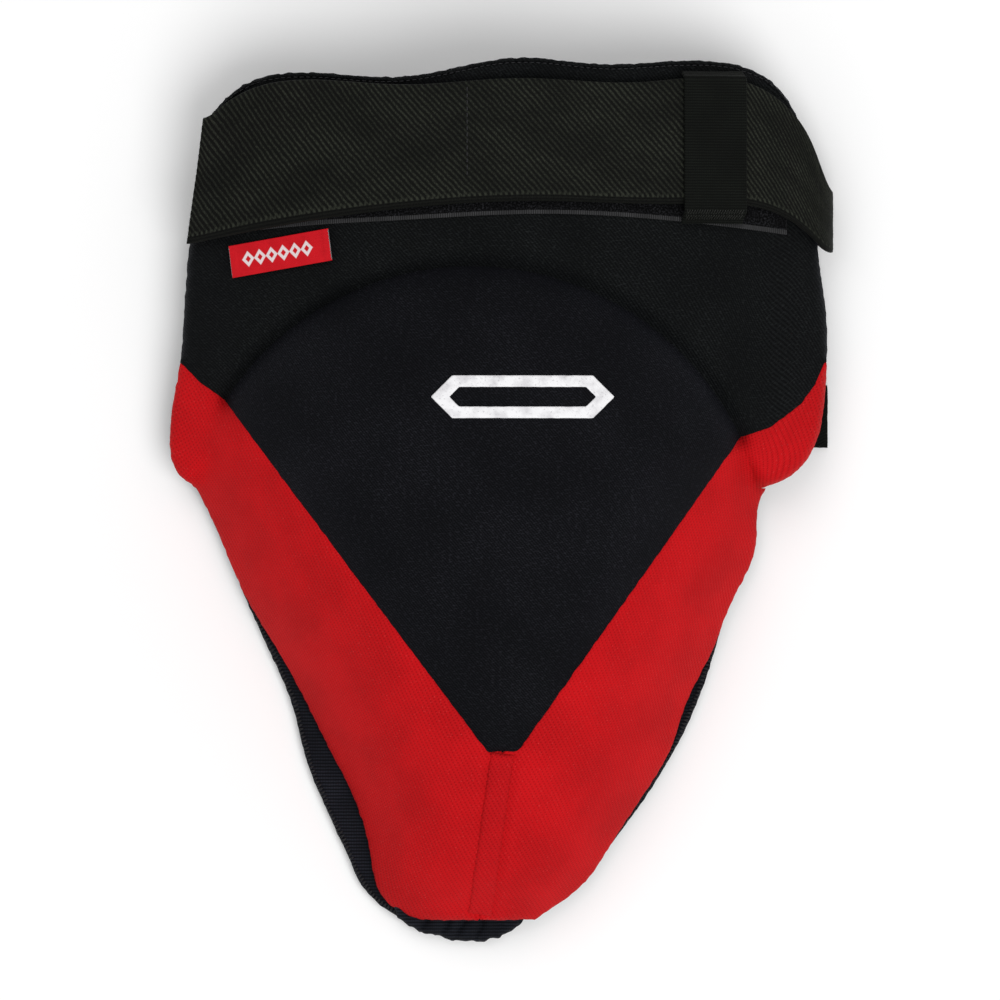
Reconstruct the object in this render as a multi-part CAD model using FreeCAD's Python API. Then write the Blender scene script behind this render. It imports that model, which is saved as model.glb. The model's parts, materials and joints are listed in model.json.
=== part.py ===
"""Groin protector: a padded cup guard on a wide elastic waist belt, with two leg loops.

The guard lies on its back as it does when it is put down: +Z is the outward (front) side,
+Y points to the waist and X runs across the hips. The floor is z = 0.
"""
import FreeCAD, Part
import math
import os

V = FreeCAD.Vector

# ---- driving dimensions (mm) -------------------------------------------------------------
# Overall size. The plan outlines are drawn for the base size and graded to this one.
GUARD_WIDTH = 265.0
GUARD_LENGTH = 353.0
BASE_WIDTH, BASE_LENGTH = 265.0, 353.0


def across(x):
    return x * GUARD_WIDTH / BASE_WIDTH


def along(y):
    return y * GUARD_LENGTH / BASE_LENGTH


def P(x, y):
    """Point of a plan outline, graded to the overall size."""
    return V(across(x), along(y), 0)


# Hip curve: the waist yoke, its wings and the belt are bent round one axis parallel to Y.
YOKE_TOP = 60.0              # outer face of the yoke cover above the floor, on the middle line
WING_TOP = 18.0              # the same face at the tip of the wings
HIP_HALF = across(130.0)
YOKE_RADIUS = (HIP_HALF ** 2 + (YOKE_TOP - WING_TOP) ** 2) / (2 * (YOKE_TOP - WING_TOP))
AXIS_Z = YOKE_TOP - YOKE_RADIUS

# Layers, counted inward from the outer face of the covers.
COVER = 1.6                  # woven outer cover and lining cloth
LAYER_GAP = 0.2              # clearance between two layers of the same body
IMPACT_FOAM = 6.0            # foam over the hard cup
CUP_WALL = 3.0               # moulded hard cup
LINER_FOAM = 4.0             # soft foam inside the hard cup
LINING = 1.0                 # thin cloth against the body
YOKE_FOAM = 7.4              # foam of the waist yoke and wings

# Raised dome over the cup.
CROWN_X = across(-5.0)       # middle line of the dome
DOME_BASE = 4.4              # underside of the dome's layers
EDGE_Z = 8.0                 # where the dome's flank turns into its edge
CUP_BASE = 10.0              # rim of the hard cup
TIP_Y = along(-168.0)        # lowest end of the dome
FLANK_POWER = 2.4            # shape of a cross section: flat crown, falling flanks
FLANK_FALL = 0.9
RIM_CUSHION = 9.0            # width of the soft rim under the hard cup

# Dome rows below the crease: (y, left edge x, right edge x, crown height).
LOWER_ROWS = [
    (0, -119, 104, 85.5), (-20, -110, 102, 84.5), (-40, -101, 93, 82), (-60, -89, 85, 78),
    (-80, -78, 75, 72.5), (-100, -68, 68, 65), (-120, -58, 56, 56.5), (-140, -52, 43, 46.5),
    (-155, -49, 32, 34), (-168, -34, 14, 20),
]
# Dome rows under the crease arc: (y, crown height). Their edges follow from the arc.
CREASE_ROWS = [(79, 70.5), (60, 77.5), (40, 82.5), (25, 84.5)]
# Dome rows beyond the crease, which no panel reaches: (y, half width, crown height).
BURIED_ROWS = [(110, 58, 44), (95, 74, 59)]

# Front panel: a shield with the crease, an arc, as its top and a flat tip.
CREASE_LEFT, CREASE_TOP, CREASE_RIGHT = P(-110.0, 40.0), P(-11.2, 93.2), P(96.0, 25.0)
PANEL_TIP = [P(7.0, -100.0), P(-5.0, -100.0)]
NOTCH_RIGHT = P(103.0, 5.0)
NOTCH_LEFT = P(-122.0, 6.0)
SEAM_GAP = 0.3               # between two cover panels

# Seam tape down the lower middle.
TAPE_TOP = P(1.0, -101.0)
TAPE_FOOT = P(-8.0, -166.0)
TAPE_WIDTH = 9.5
TAPE_THICK = 1.0

# Printed badge on the front panel.
BADGE_MIDDLE = P(9.0, 41.0)
BADGE_LENGTH, BADGE_HEIGHT, BADGE_STROKE = 73.0, 17.0, 4.6
BADGE_POINT = 1.6            # how much further the ring's inner edge stays off its points
BADGE_THICK = 0.4

# Waist belt: elastic webbing, with its top and bottom edges in plan.
BELT_THICK = 1.8
BELT_WIDTH = 48.0
BELT_LIFT = 3.4              # belt's inner face above the yoke cover: room for hook and loop
FOLD_RADIUS = 13.5           # middle radius of the turn round the right hip
TAB_END_X = across(-125.5)
TAB_SEAM_ANGLE = -3.3        # hinge line of the free end, in degrees round the hip curve
BELT_TOP = [P(-117, 152), P(-100, 164), P(-40, 165.5), P(8, 168), P(56, 166.5), P(98, 167),
            P(117, 155), P(126.5, 139), P(131, 122), P(136, 104)]
BELT_BOTTOM = [P(136, 92), P(126, 104), P(112, 114), P(73, 118), P(20, 119), P(-40, 116),
               P(-106, 106), P(-126, 102)]
BACK_RUN_LOW = along(95.0)
BACK_RUN_END = across(-119.0)
ANCHOR_LENGTH = 13.0
ANCHOR_INSET = 2.0

# Hook and loop fastening.
LOOP_THICK = 1.5
HOOK_THICK = 1.2
LOOP_LEFT, LOOP_RIGHT, LOOP_HIGH = across(-108.0), across(115.0), along(150.0)
LOOP_BOTTOM = [P(115, 106), P(73, 111), P(16, 114), P(-40, 111.5), P(-70, 110), P(-108, 106.5)]
HOOK_ANGLES = (-25.5, -4.2)
HOOK_LOW, HOOK_HIGH = along(122.0), along(158.0)

# Webbing keeper that the belt slides through.
KEEPER_LEFT, KEEPER_WIDTH = across(73.5), 25.0
KEEPER_FOOT_LOW, KEEPER_FOOT_HIGH = 3.4, 1.3
KEEPER_CLEAR_LOW, KEEPER_CLEAR_HIGH = 4.0, 1.0
KEEPER_THICK = 1.6
SLIDE_GAP = 0.4

# Woven side label, a flat folded tab that hangs below the loop strip.
LABEL_LENGTH, LABEL_DROP, LABEL_THICK = 44.0, 13.0, 0.9
LABEL_LEFT = across(-110.0)
LABEL_TILT = 9.0             # its top edge rises towards the middle, in degrees
LABEL_GAP = 1.8

# Flat rim cloth under the dome, seen as a serged edge beside the trims.
RIM_LOW, RIM_THICK = 2.4, 1.8
RIM_LEFT = [P(-124, 34), P(-117, 4), P(-101, -42), P(-91, -64), P(-82, -87), P(-79.5, -98),
            P(-72, -119), P(-60, -145)]
RIM_RIGHT = [P(36, -149), P(50, -131), P(68, -104), P(78, -84), P(92, -38), P(102, 4),
             P(110, 34)]
RIM_TIP = [P(-51, -160), P(-38, -168.5), P(2, -167)]
RIM_CENTRE = P(-8, -60)      # the rim cloth's inner edge is drawn in towards this point
RIM_END_Y = along(4.0)
RIM_INSET = 18.0

# Gathered gusset at the crotch.
GUSSET = [P(-44, -155), P(-41, -167), P(-26, -175), P(-4, -176.5), P(9, -169), P(14, -155)]
GUSSET_THICK = 2.1
GUSSET_GATHER = 11.0
GATHER_Y = TIP_Y - 2 * TAPE_THICK    # below this the gusset is gathered up to its full height

# Leg loops: elastic straps that turn about the line between their two anchors.
STRAP_THICK = 1.8
STRAP_LOW = 0.3
STRAP_WIDTH = 25.0
STRAP_CLEAR = 1.1            # each strap's widest reach from the plane between the two
LEG_WING = P(-108.0, 30.0)
LEG_CROTCH = P(-25.0, -136.0)
LEG_MIRROR_X = across(-3.0)
WING_ANCHOR_RISE = 3.5       # wing anchors sit this much nearer the waist than the line's end
WING_ANCHOR_END = {"left": across(-129.5), "right": across(131.6)}
CROTCH_ANCHOR_LENGTH = 12.0
JOINT_GAP = 0.5

# Outline of the pad (yoke and wings), from the left notch round to the right one.
PAD_LEFT = [NOTCH_LEFT, P(-130, 13), P(-132, 26), P(-128, 55), P(-126, 84), P(-123, 112),
            P(-116, 150)]
PAD_TOP = [P(-116, 150), P(-98, 166), P(-40, 167), P(8, 174.5), P(40, 172), P(73, 173.6),
           P(98, 171), P(118, 150)]
PAD_RIGHT = [P(118, 150), P(126, 120), P(127.5, 98), P(130, 80), P(130, 42), P(125, 20),
             NOTCH_RIGHT]
WING_SEAM_LEFT = [P(-145, 60), P(-128, 55), P(-120, 47), CREASE_LEFT, P(-100, -5), P(-145, -5)]
WING_SEAM_RIGHT = [CREASE_RIGHT, P(108, 29), P(120, 38), P(126, 46), P(130, 55), P(145, 58),
                   P(145, -5), P(88, -5)]
FOAM_INSET = 3.0
BINDING_WIDTH, BINDING_PROUD = 1.5, 0.6
BINDING_START_Y = along(150.0)

FAR = 260.0                  # larger than the object: ends of cutting tools


# ---- plan outlines and cutting tools -----------------------------------------------------
def line(a, b):
    return Part.LineSegment(a, b).toShape()


def smooth(points):
    curve = Part.BSplineCurve()
    curve.interpolate(points)
    return curve.toShape()


def chain(points):
    return [line(a, b) for a, b in zip(points[:-1], points[1:])]


def face_of(edges):
    return Part.Face(Part.Wire(Part.__sortEdges__(edges)))


def polygon(points):
    return face_of(chain(points + points[:1]))


def rectangle(x_low, x_high, y_low, y_high):
    return polygon([V(x_low, y_low, 0), V(x_high, y_low, 0), V(x_high, y_high, 0),
                    V(x_low, y_high, 0)])


def grown(face, distance):
    return face.makeOffset2D(distance)


def prism(face, low=-60.0, high=FAR):
    raised = face.copy()
    raised.translate(V(0, 0, low))
    return raised.extrude(V(0, 0, high - low))


def crease_arc():
    return Part.Arc(CREASE_LEFT, CREASE_TOP, CREASE_RIGHT).toShape()


def height_at(points, x):
    """y of the smooth plan edge through the points, where it crosses x."""
    upright = line(V(x, -FAR, 0), V(x, FAR, 0))
    return smooth(points).distToShape(upright)[1][0][0].y


def front_outline():
    sides = [line(CREASE_RIGHT, PANEL_TIP[0]), line(*PANEL_TIP), line(PANEL_TIP[1], CREASE_LEFT)]
    return face_of([crease_arc()] + sides)


def dome_region():
    """Everything inside the crease and its two continuations to the notches."""
    below = [CREASE_RIGHT, NOTCH_RIGHT, P(140, 0), V(across(140), -FAR, 0),
             V(across(-150), -FAR, 0), P(-150, 2), NOTCH_LEFT, CREASE_LEFT]
    return face_of([crease_arc()] + chain(below))


def moved_out(points, distance):
    """Corners of a clockwise closed outline, each moved out square to its two sides."""
    moved = []
    for before, here, after in zip(points[-1:] + points[:-1], points, points[1:] + points[:1]):
        first, second = here - before, after - here
        first.normalize()
        second.normalize()
        normal = V(-first.y - second.y, first.x + second.x, 0)
        moved.append(here + normal * (distance / (1.0 + first.dot(second))))
    return moved


def pad_outline(grow=0.0):
    """Plan outline of the yoke and wings, grown or shrunk on every side."""
    crease = [CREASE_RIGHT, CREASE_TOP, CREASE_LEFT]
    points = moved_out(PAD_LEFT + PAD_TOP[1:] + PAD_RIGHT[1:] + crease, grow)
    top = len(PAD_LEFT) - 1
    right = top + len(PAD_TOP) - 1
    notch = right + len(PAD_RIGHT) - 1
    edges = [smooth(points[:top + 1]), smooth(points[top:right + 1]), smooth(points[right:notch + 1])]
    edges += [line(points[notch], points[-3]), Part.Arc(*points[-3:]).toShape(),
              line(points[-1], points[0])]
    return face_of(edges)


def wing_zones():
    return polygon(WING_SEAM_LEFT), polygon(WING_SEAM_RIGHT)


def belt_outline():
    return face_of([smooth(BELT_TOP), line(BELT_TOP[-1], BELT_BOTTOM[0]), smooth(BELT_BOTTOM),
                    line(BELT_BOTTOM[-1], BELT_TOP[0])])


# ---- surfaces ----------------------------------------------------------------------------
def hip_cylinder(depth):
    """Solid inside the hip curve, its face `depth` under the yoke cover."""
    start = V(0, -40, AXIS_Z)
    return Part.makeCylinder(YOKE_RADIUS - depth, FAR, start, V(0, 1, 0))


def hip_layer(outer, inner, face):
    """Layer of the hip curve between two depths, cut to a plan outline."""
    return hip_cylinder(outer).cut(hip_cylinder(inner)).common(prism(face))


def hip_height(x, depth=0.0):
    return AXIS_Z + math.sqrt((YOKE_RADIUS - depth) ** 2 - x ** 2)


def crease_half_width(edge_x, crown):
    """Half width of a section whose flank meets the yoke at edge_x."""
    ratio = (hip_height(edge_x) - EDGE_Z) / (crown - EDGE_Z)
    share = (1.0 - ratio ** (1.0 / FLANK_FALL)) ** (1.0 / FLANK_POWER)
    return abs(edge_x - CROWN_X) / share


def dome_rows():
    """Rows (y, left half width, right half width, crown) from beyond the crease to the tip."""
    rows = [(along(y), across(half), across(half), crown) for y, half, crown in BURIED_ROWS]
    crease = crease_arc().Curve
    for base_y, crown in CREASE_ROWS:
        y = along(base_y)
        reach = math.sqrt(crease.Radius ** 2 - (y - crease.Center.y) ** 2)
        left = crease_half_width(crease.Center.x - reach, crown)
        right = crease_half_width(crease.Center.x + reach, crown)
        rows.append((y, left, right, crown))
    for y, left, right, crown in LOWER_ROWS:
        rows.append((along(y), CROWN_X - across(left), across(right) - CROWN_X, crown))
    return rows


def row_at(rows, y):
    for upper, lower in zip(rows[:-1], rows[1:]):
        if upper[0] >= y >= lower[0]:
            t = (upper[0] - y) / (upper[0] - lower[0])
            return tuple(a + t * (b - a) for a, b in zip(upper, lower))
    return rows[-1]


def dome_section(row, depth, floor):
    y, left, right, crown = row
    shares = [-1, -0.96, -0.88, -0.75, -0.6, -0.4, -0.2, 0, 0.2, 0.4, 0.6, 0.75, 0.88, 0.96, 1]
    points = []
    for share in shares:
        half = (left if share < 0 else right) - depth
        rise = (1.0 - abs(share) ** FLANK_POWER) ** FLANK_FALL
        points.append(V(CROWN_X + share * half, y, EDGE_Z + (crown - depth - EDGE_Z) * rise))
    right_foot = V(points[-1].x, y, floor)
    left_foot = V(points[0].x, y, floor)
    sides = [line(points[-1], right_foot), line(right_foot, left_foot), line(left_foot, points[0])]
    return Part.Wire([smooth(points)] + sides)


def dome(depth, floor=-5.0):
    """Solid of the whole dome, its face `depth` under the covers."""
    rows = dome_rows()
    tip = row_at(rows, TIP_Y + depth)
    kept = [row for row in rows if row[0] > tip[0] + 4.0] + [tip]
    return Part.makeLoft([dome_section(row, depth, floor) for row in kept], True, False)


def dome_layer(outer, inner, face, base=DOME_BASE, top=FAR):
    """Layer of the dome between two depths, cut to a plan outline and a base height."""
    layer = dome(outer).cut(dome(inner, floor=-12.0))
    return layer.common(prism(face, base, top))


def band(x, z, inner, outer, start, end, low, high):
    """Arc-shaped band about an axis parallel to Y; angles are from +X towards +Z."""
    def at(radius, angle):
        a = math.radians(angle)
        return V(x + radius * math.cos(a), low, z + radius * math.sin(a))
    middle = (start + end) / 2
    edges = [Part.Arc(at(outer, start), at(outer, middle), at(outer, end)).toShape(),
             line(at(outer, end), at(inner, end)),
             Part.Arc(at(inner, end), at(inner, middle), at(inner, start)).toShape(),
             line(at(inner, start), at(outer, start))]
    return face_of(edges).extrude(V(0, high - low, 0))


def hip_band(outer, inner, start, end, face):
    """Strip round the hip curve between two angles from the centre line, in degrees."""
    ring = band(0, AXIS_Z, YOKE_RADIUS - inner, YOKE_RADIUS - outer, 90 - end, 90 - start, 0, FAR)
    return ring.common(prism(face))


# ---- covers ------------------------------------------------------------------------------
def front_panel():
    return dome_layer(0, COVER, front_outline())


def trims():
    """Side covers of the dome, left and right of the seam tape's line."""
    shell = dome_layer(0, COVER, grown(dome_region(), -SEAM_GAP / 2))
    shell = shell.cut(prism(grown(front_outline(), SEAM_GAP)))
    run = TAPE_FOOT - TAPE_TOP
    high = TAPE_TOP - run * 0.1
    low = TAPE_FOOT + run
    shift = V(SEAM_GAP / 2, 0, 0)
    left = polygon([high - shift, low - shift, V(-FAR, low.y, 0), V(-FAR, FAR, 0), P(-60, 60)])
    right = polygon([high + shift, low + shift, V(FAR, low.y, 0), V(FAR, FAR, 0), P(60, 60)])
    return shell.common(prism(left)), shell.common(prism(right))


def wings():
    left, right = wing_zones()
    shell = hip_layer(0, COVER, pad_outline())
    return [shell.common(prism(grown(zone, -SEAM_GAP / 2))) for zone in (left, right)]


def yoke_panel():
    shell = hip_layer(0, COVER, pad_outline(-SEAM_GAP / 2))
    for zone in wing_zones():
        shell = shell.cut(prism(grown(zone, SEAM_GAP / 2)))
    return shell


def seam_tape():
    run = TAPE_FOOT - TAPE_TOP
    run.normalize()
    side = V(-run.y, run.x, 0) * (TAPE_WIDTH / 2)
    strip = polygon([TAPE_TOP - side, TAPE_TOP + side, TAPE_FOOT + side, TAPE_FOOT - side])
    return dome_layer(-TAPE_THICK - LAYER_GAP, -LAYER_GAP, strip)


def flat_hexagon(length, height):
    half, tall = length / 2, height / 2
    corners = [(-half, 0), (tall - half, tall), (half - tall, tall), (half, 0),
               (half - tall, -tall), (tall - half, -tall)]
    return polygon([BADGE_MIDDLE + V(x, y, 0) for x, y in corners])


def print_badge():
    trim = 2 * BADGE_STROKE
    ring = flat_hexagon(BADGE_LENGTH, BADGE_HEIGHT)
    ring = ring.cut(flat_hexagon(BADGE_LENGTH - BADGE_POINT * trim, BADGE_HEIGHT - trim))
    layer = dome(-BADGE_THICK - LAYER_GAP / 2).cut(dome(-LAYER_GAP / 2, floor=-12.0))
    return layer.common(prism(ring, EDGE_Z))


# ---- protective layers -------------------------------------------------------------------
def cup_layers():
    region = dome_region()
    foam_out = COVER + LAYER_GAP
    cup_out = foam_out + IMPACT_FOAM + LAYER_GAP
    liner_out = cup_out + CUP_WALL + LAYER_GAP
    lining_out = liner_out + LINER_FOAM + LAYER_GAP
    narrow = grown(region, -FOAM_INSET)
    rim = prism(narrow, DOME_BASE, CUP_BASE - LAYER_GAP)
    cushion = dome(cup_out).cut(dome(cup_out + RIM_CUSHION, floor=-12.0)).common(rim)
    return {
        "impact_foam": dome_layer(foam_out, foam_out + IMPACT_FOAM, narrow),
        "cup_shell": dome_layer(cup_out, cup_out + CUP_WALL, narrow, CUP_BASE),
        "cup_liner": dome_layer(liner_out, liner_out + LINER_FOAM, narrow, CUP_BASE),
        "cup_lining": dome_layer(lining_out, lining_out + LINING, narrow, CUP_BASE),
        "rim_cushion": cushion,
    }


def yoke_layers():
    foam_out = COVER + LAYER_GAP
    lining_out = foam_out + YOKE_FOAM + LAYER_GAP
    lining_in = lining_out + COVER
    binding = hip_layer(-BINDING_PROUD, lining_in + BINDING_PROUD,
                        pad_outline(BINDING_WIDTH + LAYER_GAP)).cut(prism(pad_outline(LAYER_GAP)))
    return {
        "yoke_foam": hip_layer(foam_out, foam_out + YOKE_FOAM, pad_outline(-FOAM_INSET)),
        "yoke_lining": hip_layer(lining_out, lining_in, pad_outline(-SEAM_GAP)),
        "top_binding": binding.common(prism(rectangle(-FAR, FAR, BINDING_START_Y, FAR))),
    }


def rim_face(inset):
    """Outline of the rim cloth, drawn in towards the middle of the opening."""
    def drawn_in(points):
        return [point + (RIM_CENTRE - point).normalize() * inset for point in points]

    left, tip, right = drawn_in(RIM_LEFT), drawn_in(RIM_TIP), drawn_in(RIM_RIGHT)
    end = smooth([left[-1]] + tip + [right[0]])
    return face_of([smooth(left), end, smooth(right), line(right[-1], left[0])])


def rim_cloth():
    end = GATHER_Y + LAYER_GAP
    sheet = prism(rectangle(-FAR, FAR, end, RIM_END_Y), RIM_LOW, RIM_LOW + RIM_THICK)
    return sheet.common(prism(rim_face(0))).cut(prism(rim_face(RIM_INSET)))


def crotch_gusset():
    anchors_low = min(leg_anchors(side)[1].BoundBox.YMin for side in ("left", "right"))
    top = min(GUSSET[0].y, anchors_low - LAYER_GAP)
    outline = [V(GUSSET[0].x, top, 0)] + GUSSET[1:-1] + [V(GUSSET[-1].x, top, 0)]
    face = face_of([smooth(outline), line(outline[-1], outline[0])])
    sheet = prism(face, 0, GUSSET_THICK)
    beyond = face.common(rectangle(-FAR, FAR, -FAR, GATHER_Y))
    return sheet.fuse(prism(beyond, 0, GUSSET_GATHER)).removeSplitter()


# ---- belt --------------------------------------------------------------------------------
def fold_centre():
    """Axis (x, z) of the turn round the right hip, which touches the hip curve and the floor."""
    z = BELT_THICK / 2 + FOLD_RADIUS
    reach = YOKE_RADIUS + BELT_LIFT + BELT_THICK / 2 - FOLD_RADIUS
    return math.sqrt(reach ** 2 - (z - AXIS_Z) ** 2), z


def belt_pieces():
    outline = belt_outline()
    outer, inner = -BELT_LIFT - BELT_THICK, -BELT_LIFT
    x, z = fold_centre()
    turn = math.degrees(math.atan2(x, z - AXIS_Z))
    gap = math.degrees(LAYER_GAP / YOKE_RADIUS)
    tab_end = math.degrees(math.asin(TAB_END_X / (YOKE_RADIUS + BELT_LIFT)))
    half = BELT_THICK / 2
    fold = band(x, z, FOLD_RADIUS - half, FOLD_RADIUS + half, -90, 90 - turn, 0, FAR)
    fold = fold.common(prism(outline))
    back = rectangle(BACK_RUN_END, x, BACK_RUN_LOW, BACK_RUN_LOW + BELT_WIDTH)
    run = prism(back, 0, BELT_THICK)
    hook = hip_band(-BELT_LIFT + LAYER_GAP, -BELT_LIFT + LAYER_GAP + HOOK_THICK, *HOOK_ANGLES,
                    rectangle(-FAR, 0, HOOK_LOW, HOOK_HIGH))
    return {
        "belt_front": hip_band(outer, inner, TAB_SEAM_ANGLE + gap, turn - 1.5 * gap, outline),
        "belt_tab": hip_band(outer, inner, tab_end, TAB_SEAM_ANGLE - gap, outline),
        "hook_patch": hook,
        "belt_back": fold.fuse(run).removeSplitter(),
    }


def belt_anchor():
    """Doubled, stitched end of the belt between its back run and the left end of the yoke."""
    low = BACK_RUN_LOW + ANCHOR_INSET
    high = BACK_RUN_LOW + BELT_WIDTH - ANCHOR_INSET
    face = rectangle(BACK_RUN_END, BACK_RUN_END + ANCHOR_LENGTH, low, high)
    inside = COVER + LAYER_GAP + YOKE_FOAM + LAYER_GAP + COVER + LAYER_GAP
    return hip_cylinder(inside).common(prism(face, BELT_THICK + LAYER_GAP, 60))


def loop_strip():
    top = [V(LOOP_LEFT, LOOP_HIGH, 0), V(LOOP_RIGHT, LOOP_HIGH, 0)]
    edges = [smooth(LOOP_BOTTOM)] + chain([LOOP_BOTTOM[-1]] + top + [LOOP_BOTTOM[0]])
    return hip_layer(-LAYER_GAP - LOOP_THICK, -LAYER_GAP, face_of(edges))


def belt_keeper():
    left, right = KEEPER_LEFT, KEEPER_LEFT + KEEPER_WIDTH
    under = -BELT_LIFT - BELT_THICK - SLIDE_GAP
    outer = under - KEEPER_THICK
    places = [left + KEEPER_WIDTH * part / 4 for part in range(5)]
    inner_low = min(height_at(BELT_BOTTOM, x) for x in places) - KEEPER_CLEAR_LOW
    inner_high = max(height_at(BELT_TOP, x) for x in places) + KEEPER_CLEAR_HIGH
    bridge = hip_layer(outer, under, rectangle(left, right, inner_low - KEEPER_FOOT_LOW,
                                               inner_high + KEEPER_FOOT_HIGH))
    low = rectangle(left, right, inner_low - KEEPER_FOOT_LOW, inner_low)
    high = rectangle(left, right, inner_high, inner_high + KEEPER_FOOT_HIGH)
    strip = -LAYER_GAP - LOOP_THICK - LAYER_GAP
    keeper = bridge.fuse(hip_layer(outer, strip, low)).fuse(hip_layer(outer, -LAYER_GAP, high))
    return keeper.removeSplitter()


def label_hinge():
    """Middle of the label's upper edge, its direction, and the slope of the yoke there."""
    tilt = math.radians(LABEL_TILT)
    edge = V(math.cos(tilt), math.sin(tilt), 0)
    right_x = LABEL_LEFT + edge.x * LABEL_LENGTH
    right_y = height_at(LOOP_BOTTOM, right_x) - LABEL_GAP
    middle = V(right_x, right_y, 0) - edge * (LABEL_LENGTH / 2)
    middle.z = hip_height(middle.x) + 2 * LAYER_GAP
    slope = math.asin(middle.x / YOKE_RADIUS)
    direction = V(edge.x * math.cos(slope), edge.y, -edge.x * math.sin(slope))
    return middle, direction, math.degrees(slope)


def side_label():
    """Flat label touching the yoke at its middle; its hinge is the upper edge."""
    middle, _, slope = label_hinge()
    label = Part.makeBox(LABEL_LENGTH, LABEL_DROP, LABEL_THICK,
                         V(-LABEL_LENGTH / 2, -LABEL_DROP, 0))
    label.rotate(V(0, 0, 0), V(0, 0, 1), LABEL_TILT)
    label.rotate(V(0, 0, 0), V(0, 1, 0), slope)
    label.translate(middle)
    return label


# ---- leg loops ---------------------------------------------------------------------------
def leg_line(side):
    """Anchor line of one loop: start, end, unit direction and the unit normal to the inside."""
    start, end = V(LEG_WING), V(LEG_CROTCH)
    if side == "right":
        start.x = 2 * LEG_MIRROR_X - start.x
        end.x = 2 * LEG_MIRROR_X - end.x
    run = end - start
    run.normalize()
    inward = V(-run.y, run.x, 0)
    if inward.y < 0:
        inward = inward * -1
    return start, end, run, inward


def strap_edge(ends, inward, sag, reach):
    """Arc that stands `sag` off the anchor line, its ends `reach` beyond the anchor points."""
    start, end, run = ends
    middle = (start + end) * 0.5
    return Part.Arc(start - run * reach, middle + inward * sag, end + run * reach).toShape()


def strap_sag():
    """How far the left strap's inner edge can stand off its line and stay clear of the right one."""
    start, end, run, inward = leg_line("left")
    low, high = 0.0, FAR / 3
    for _ in range(40):
        sag = (low + high) / 2
        reach = strap_edge((start, end, run), inward, sag, STRAP_WIDTH / 2).BoundBox.XMax
        low, high = (sag, high) if reach < LEG_MIRROR_X - STRAP_CLEAR else (low, sag)
    return low


def leg_loop(side):
    start, end, run, inward = leg_line(side)
    half = STRAP_WIDTH / 2
    sag = strap_sag()
    outer = strap_edge((start, end, run), inward, sag, half)
    inner = strap_edge((start, end, run), inward, sag - STRAP_WIDTH, -half)
    edges = [outer, inner, line(start - run * half, start + run * half),
             line(end + run * half, end - run * half)]
    strap = prism(face_of(edges), STRAP_LOW, STRAP_LOW + STRAP_THICK)
    shift = inward * (JOINT_GAP / 2)
    near = [start - run * FAR + shift, end + run * FAR + shift]
    return strap.common(prism(polygon(near + [near[1] + inward * FAR, near[0] + inward * FAR])))


def leg_anchors(side):
    """Fixed strap ends outside the anchor line: one on the wing, one on the gusset."""
    start, end, run, inward = leg_line(side)
    shift = inward * (-JOINT_GAP / 2)
    near = [start - run * FAR + shift, end + run * FAR + shift]
    keep = prism(polygon(near + [near[1] - inward * FAR, near[0] - inward * FAR]))
    limit = WING_ANCHOR_END[side]
    middle = start.y + WING_ANCHOR_RISE
    half = STRAP_WIDTH / 2
    wing = rectangle(min(limit, 0), max(limit, 0), middle - half, middle + half)
    back = inward * -CROTCH_ANCHOR_LENGTH
    crotch = polygon([end - run * half, end + run * half, end + run * half + back,
                      end - run * half + back])
    top = STRAP_LOW + STRAP_THICK
    return prism(wing, STRAP_LOW, top).common(keep), prism(crotch, STRAP_LOW, top).common(keep)


# ---- assembly ----------------------------------------------------------------------------
def build():
    nodes = {"front_panel": front_panel(), "yoke_panel": yoke_panel(), "seam_tape": seam_tape(),
             "print_badge": print_badge(), "rim_cloth": rim_cloth(),
             "crotch_gusset": crotch_gusset(), "loop_strip": loop_strip(),
             "belt_keeper": belt_keeper(), "belt_anchor": belt_anchor(),
             "side_label": side_label()}
    nodes["trim_left"], nodes["trim_right"] = trims()
    nodes["wing_left"], nodes["wing_right"] = wings()
    nodes.update(cup_layers())
    nodes.update(yoke_layers())
    nodes.update(belt_pieces())
    for side in ("left", "right"):
        nodes["leg_loop_" + side] = leg_loop(side)
        wing, crotch = leg_anchors(side)
        nodes["wing_anchor_" + side] = wing
        nodes["crotch_anchor_" + side] = crotch
    return nodes


os.makedirs("parts", exist_ok=True)
for name, shape in build().items():
    print(name, len(shape.Solids), "solids", round(shape.Volume / 1000, 2), "cm3", shape.isValid())
    shape.exportStep("parts/" + name + ".step")

fold_x, fold_z = fold_centre()
tab_angle = math.radians(TAB_SEAM_ANGLE)
tab_radius = YOKE_RADIUS + BELT_LIFT + BELT_THICK
print("belt axis z", AXIS_Z, "fold centre", fold_x, fold_z)
print("tab hinge", tab_radius * math.sin(tab_angle), AXIS_Z + tab_radius * math.cos(tab_angle))
print("label hinge", label_hinge())
for side in ("left", "right"):
    print("leg line", side, leg_line(side))
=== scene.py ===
import json
import math

import bpy
import numpy as np
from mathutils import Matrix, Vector, noise
from mathutils.bvhtree import BVHTree
from mathutils.geometry import delaunay_2d_cdt
from mathutils.kdtree import KDTree


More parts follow.
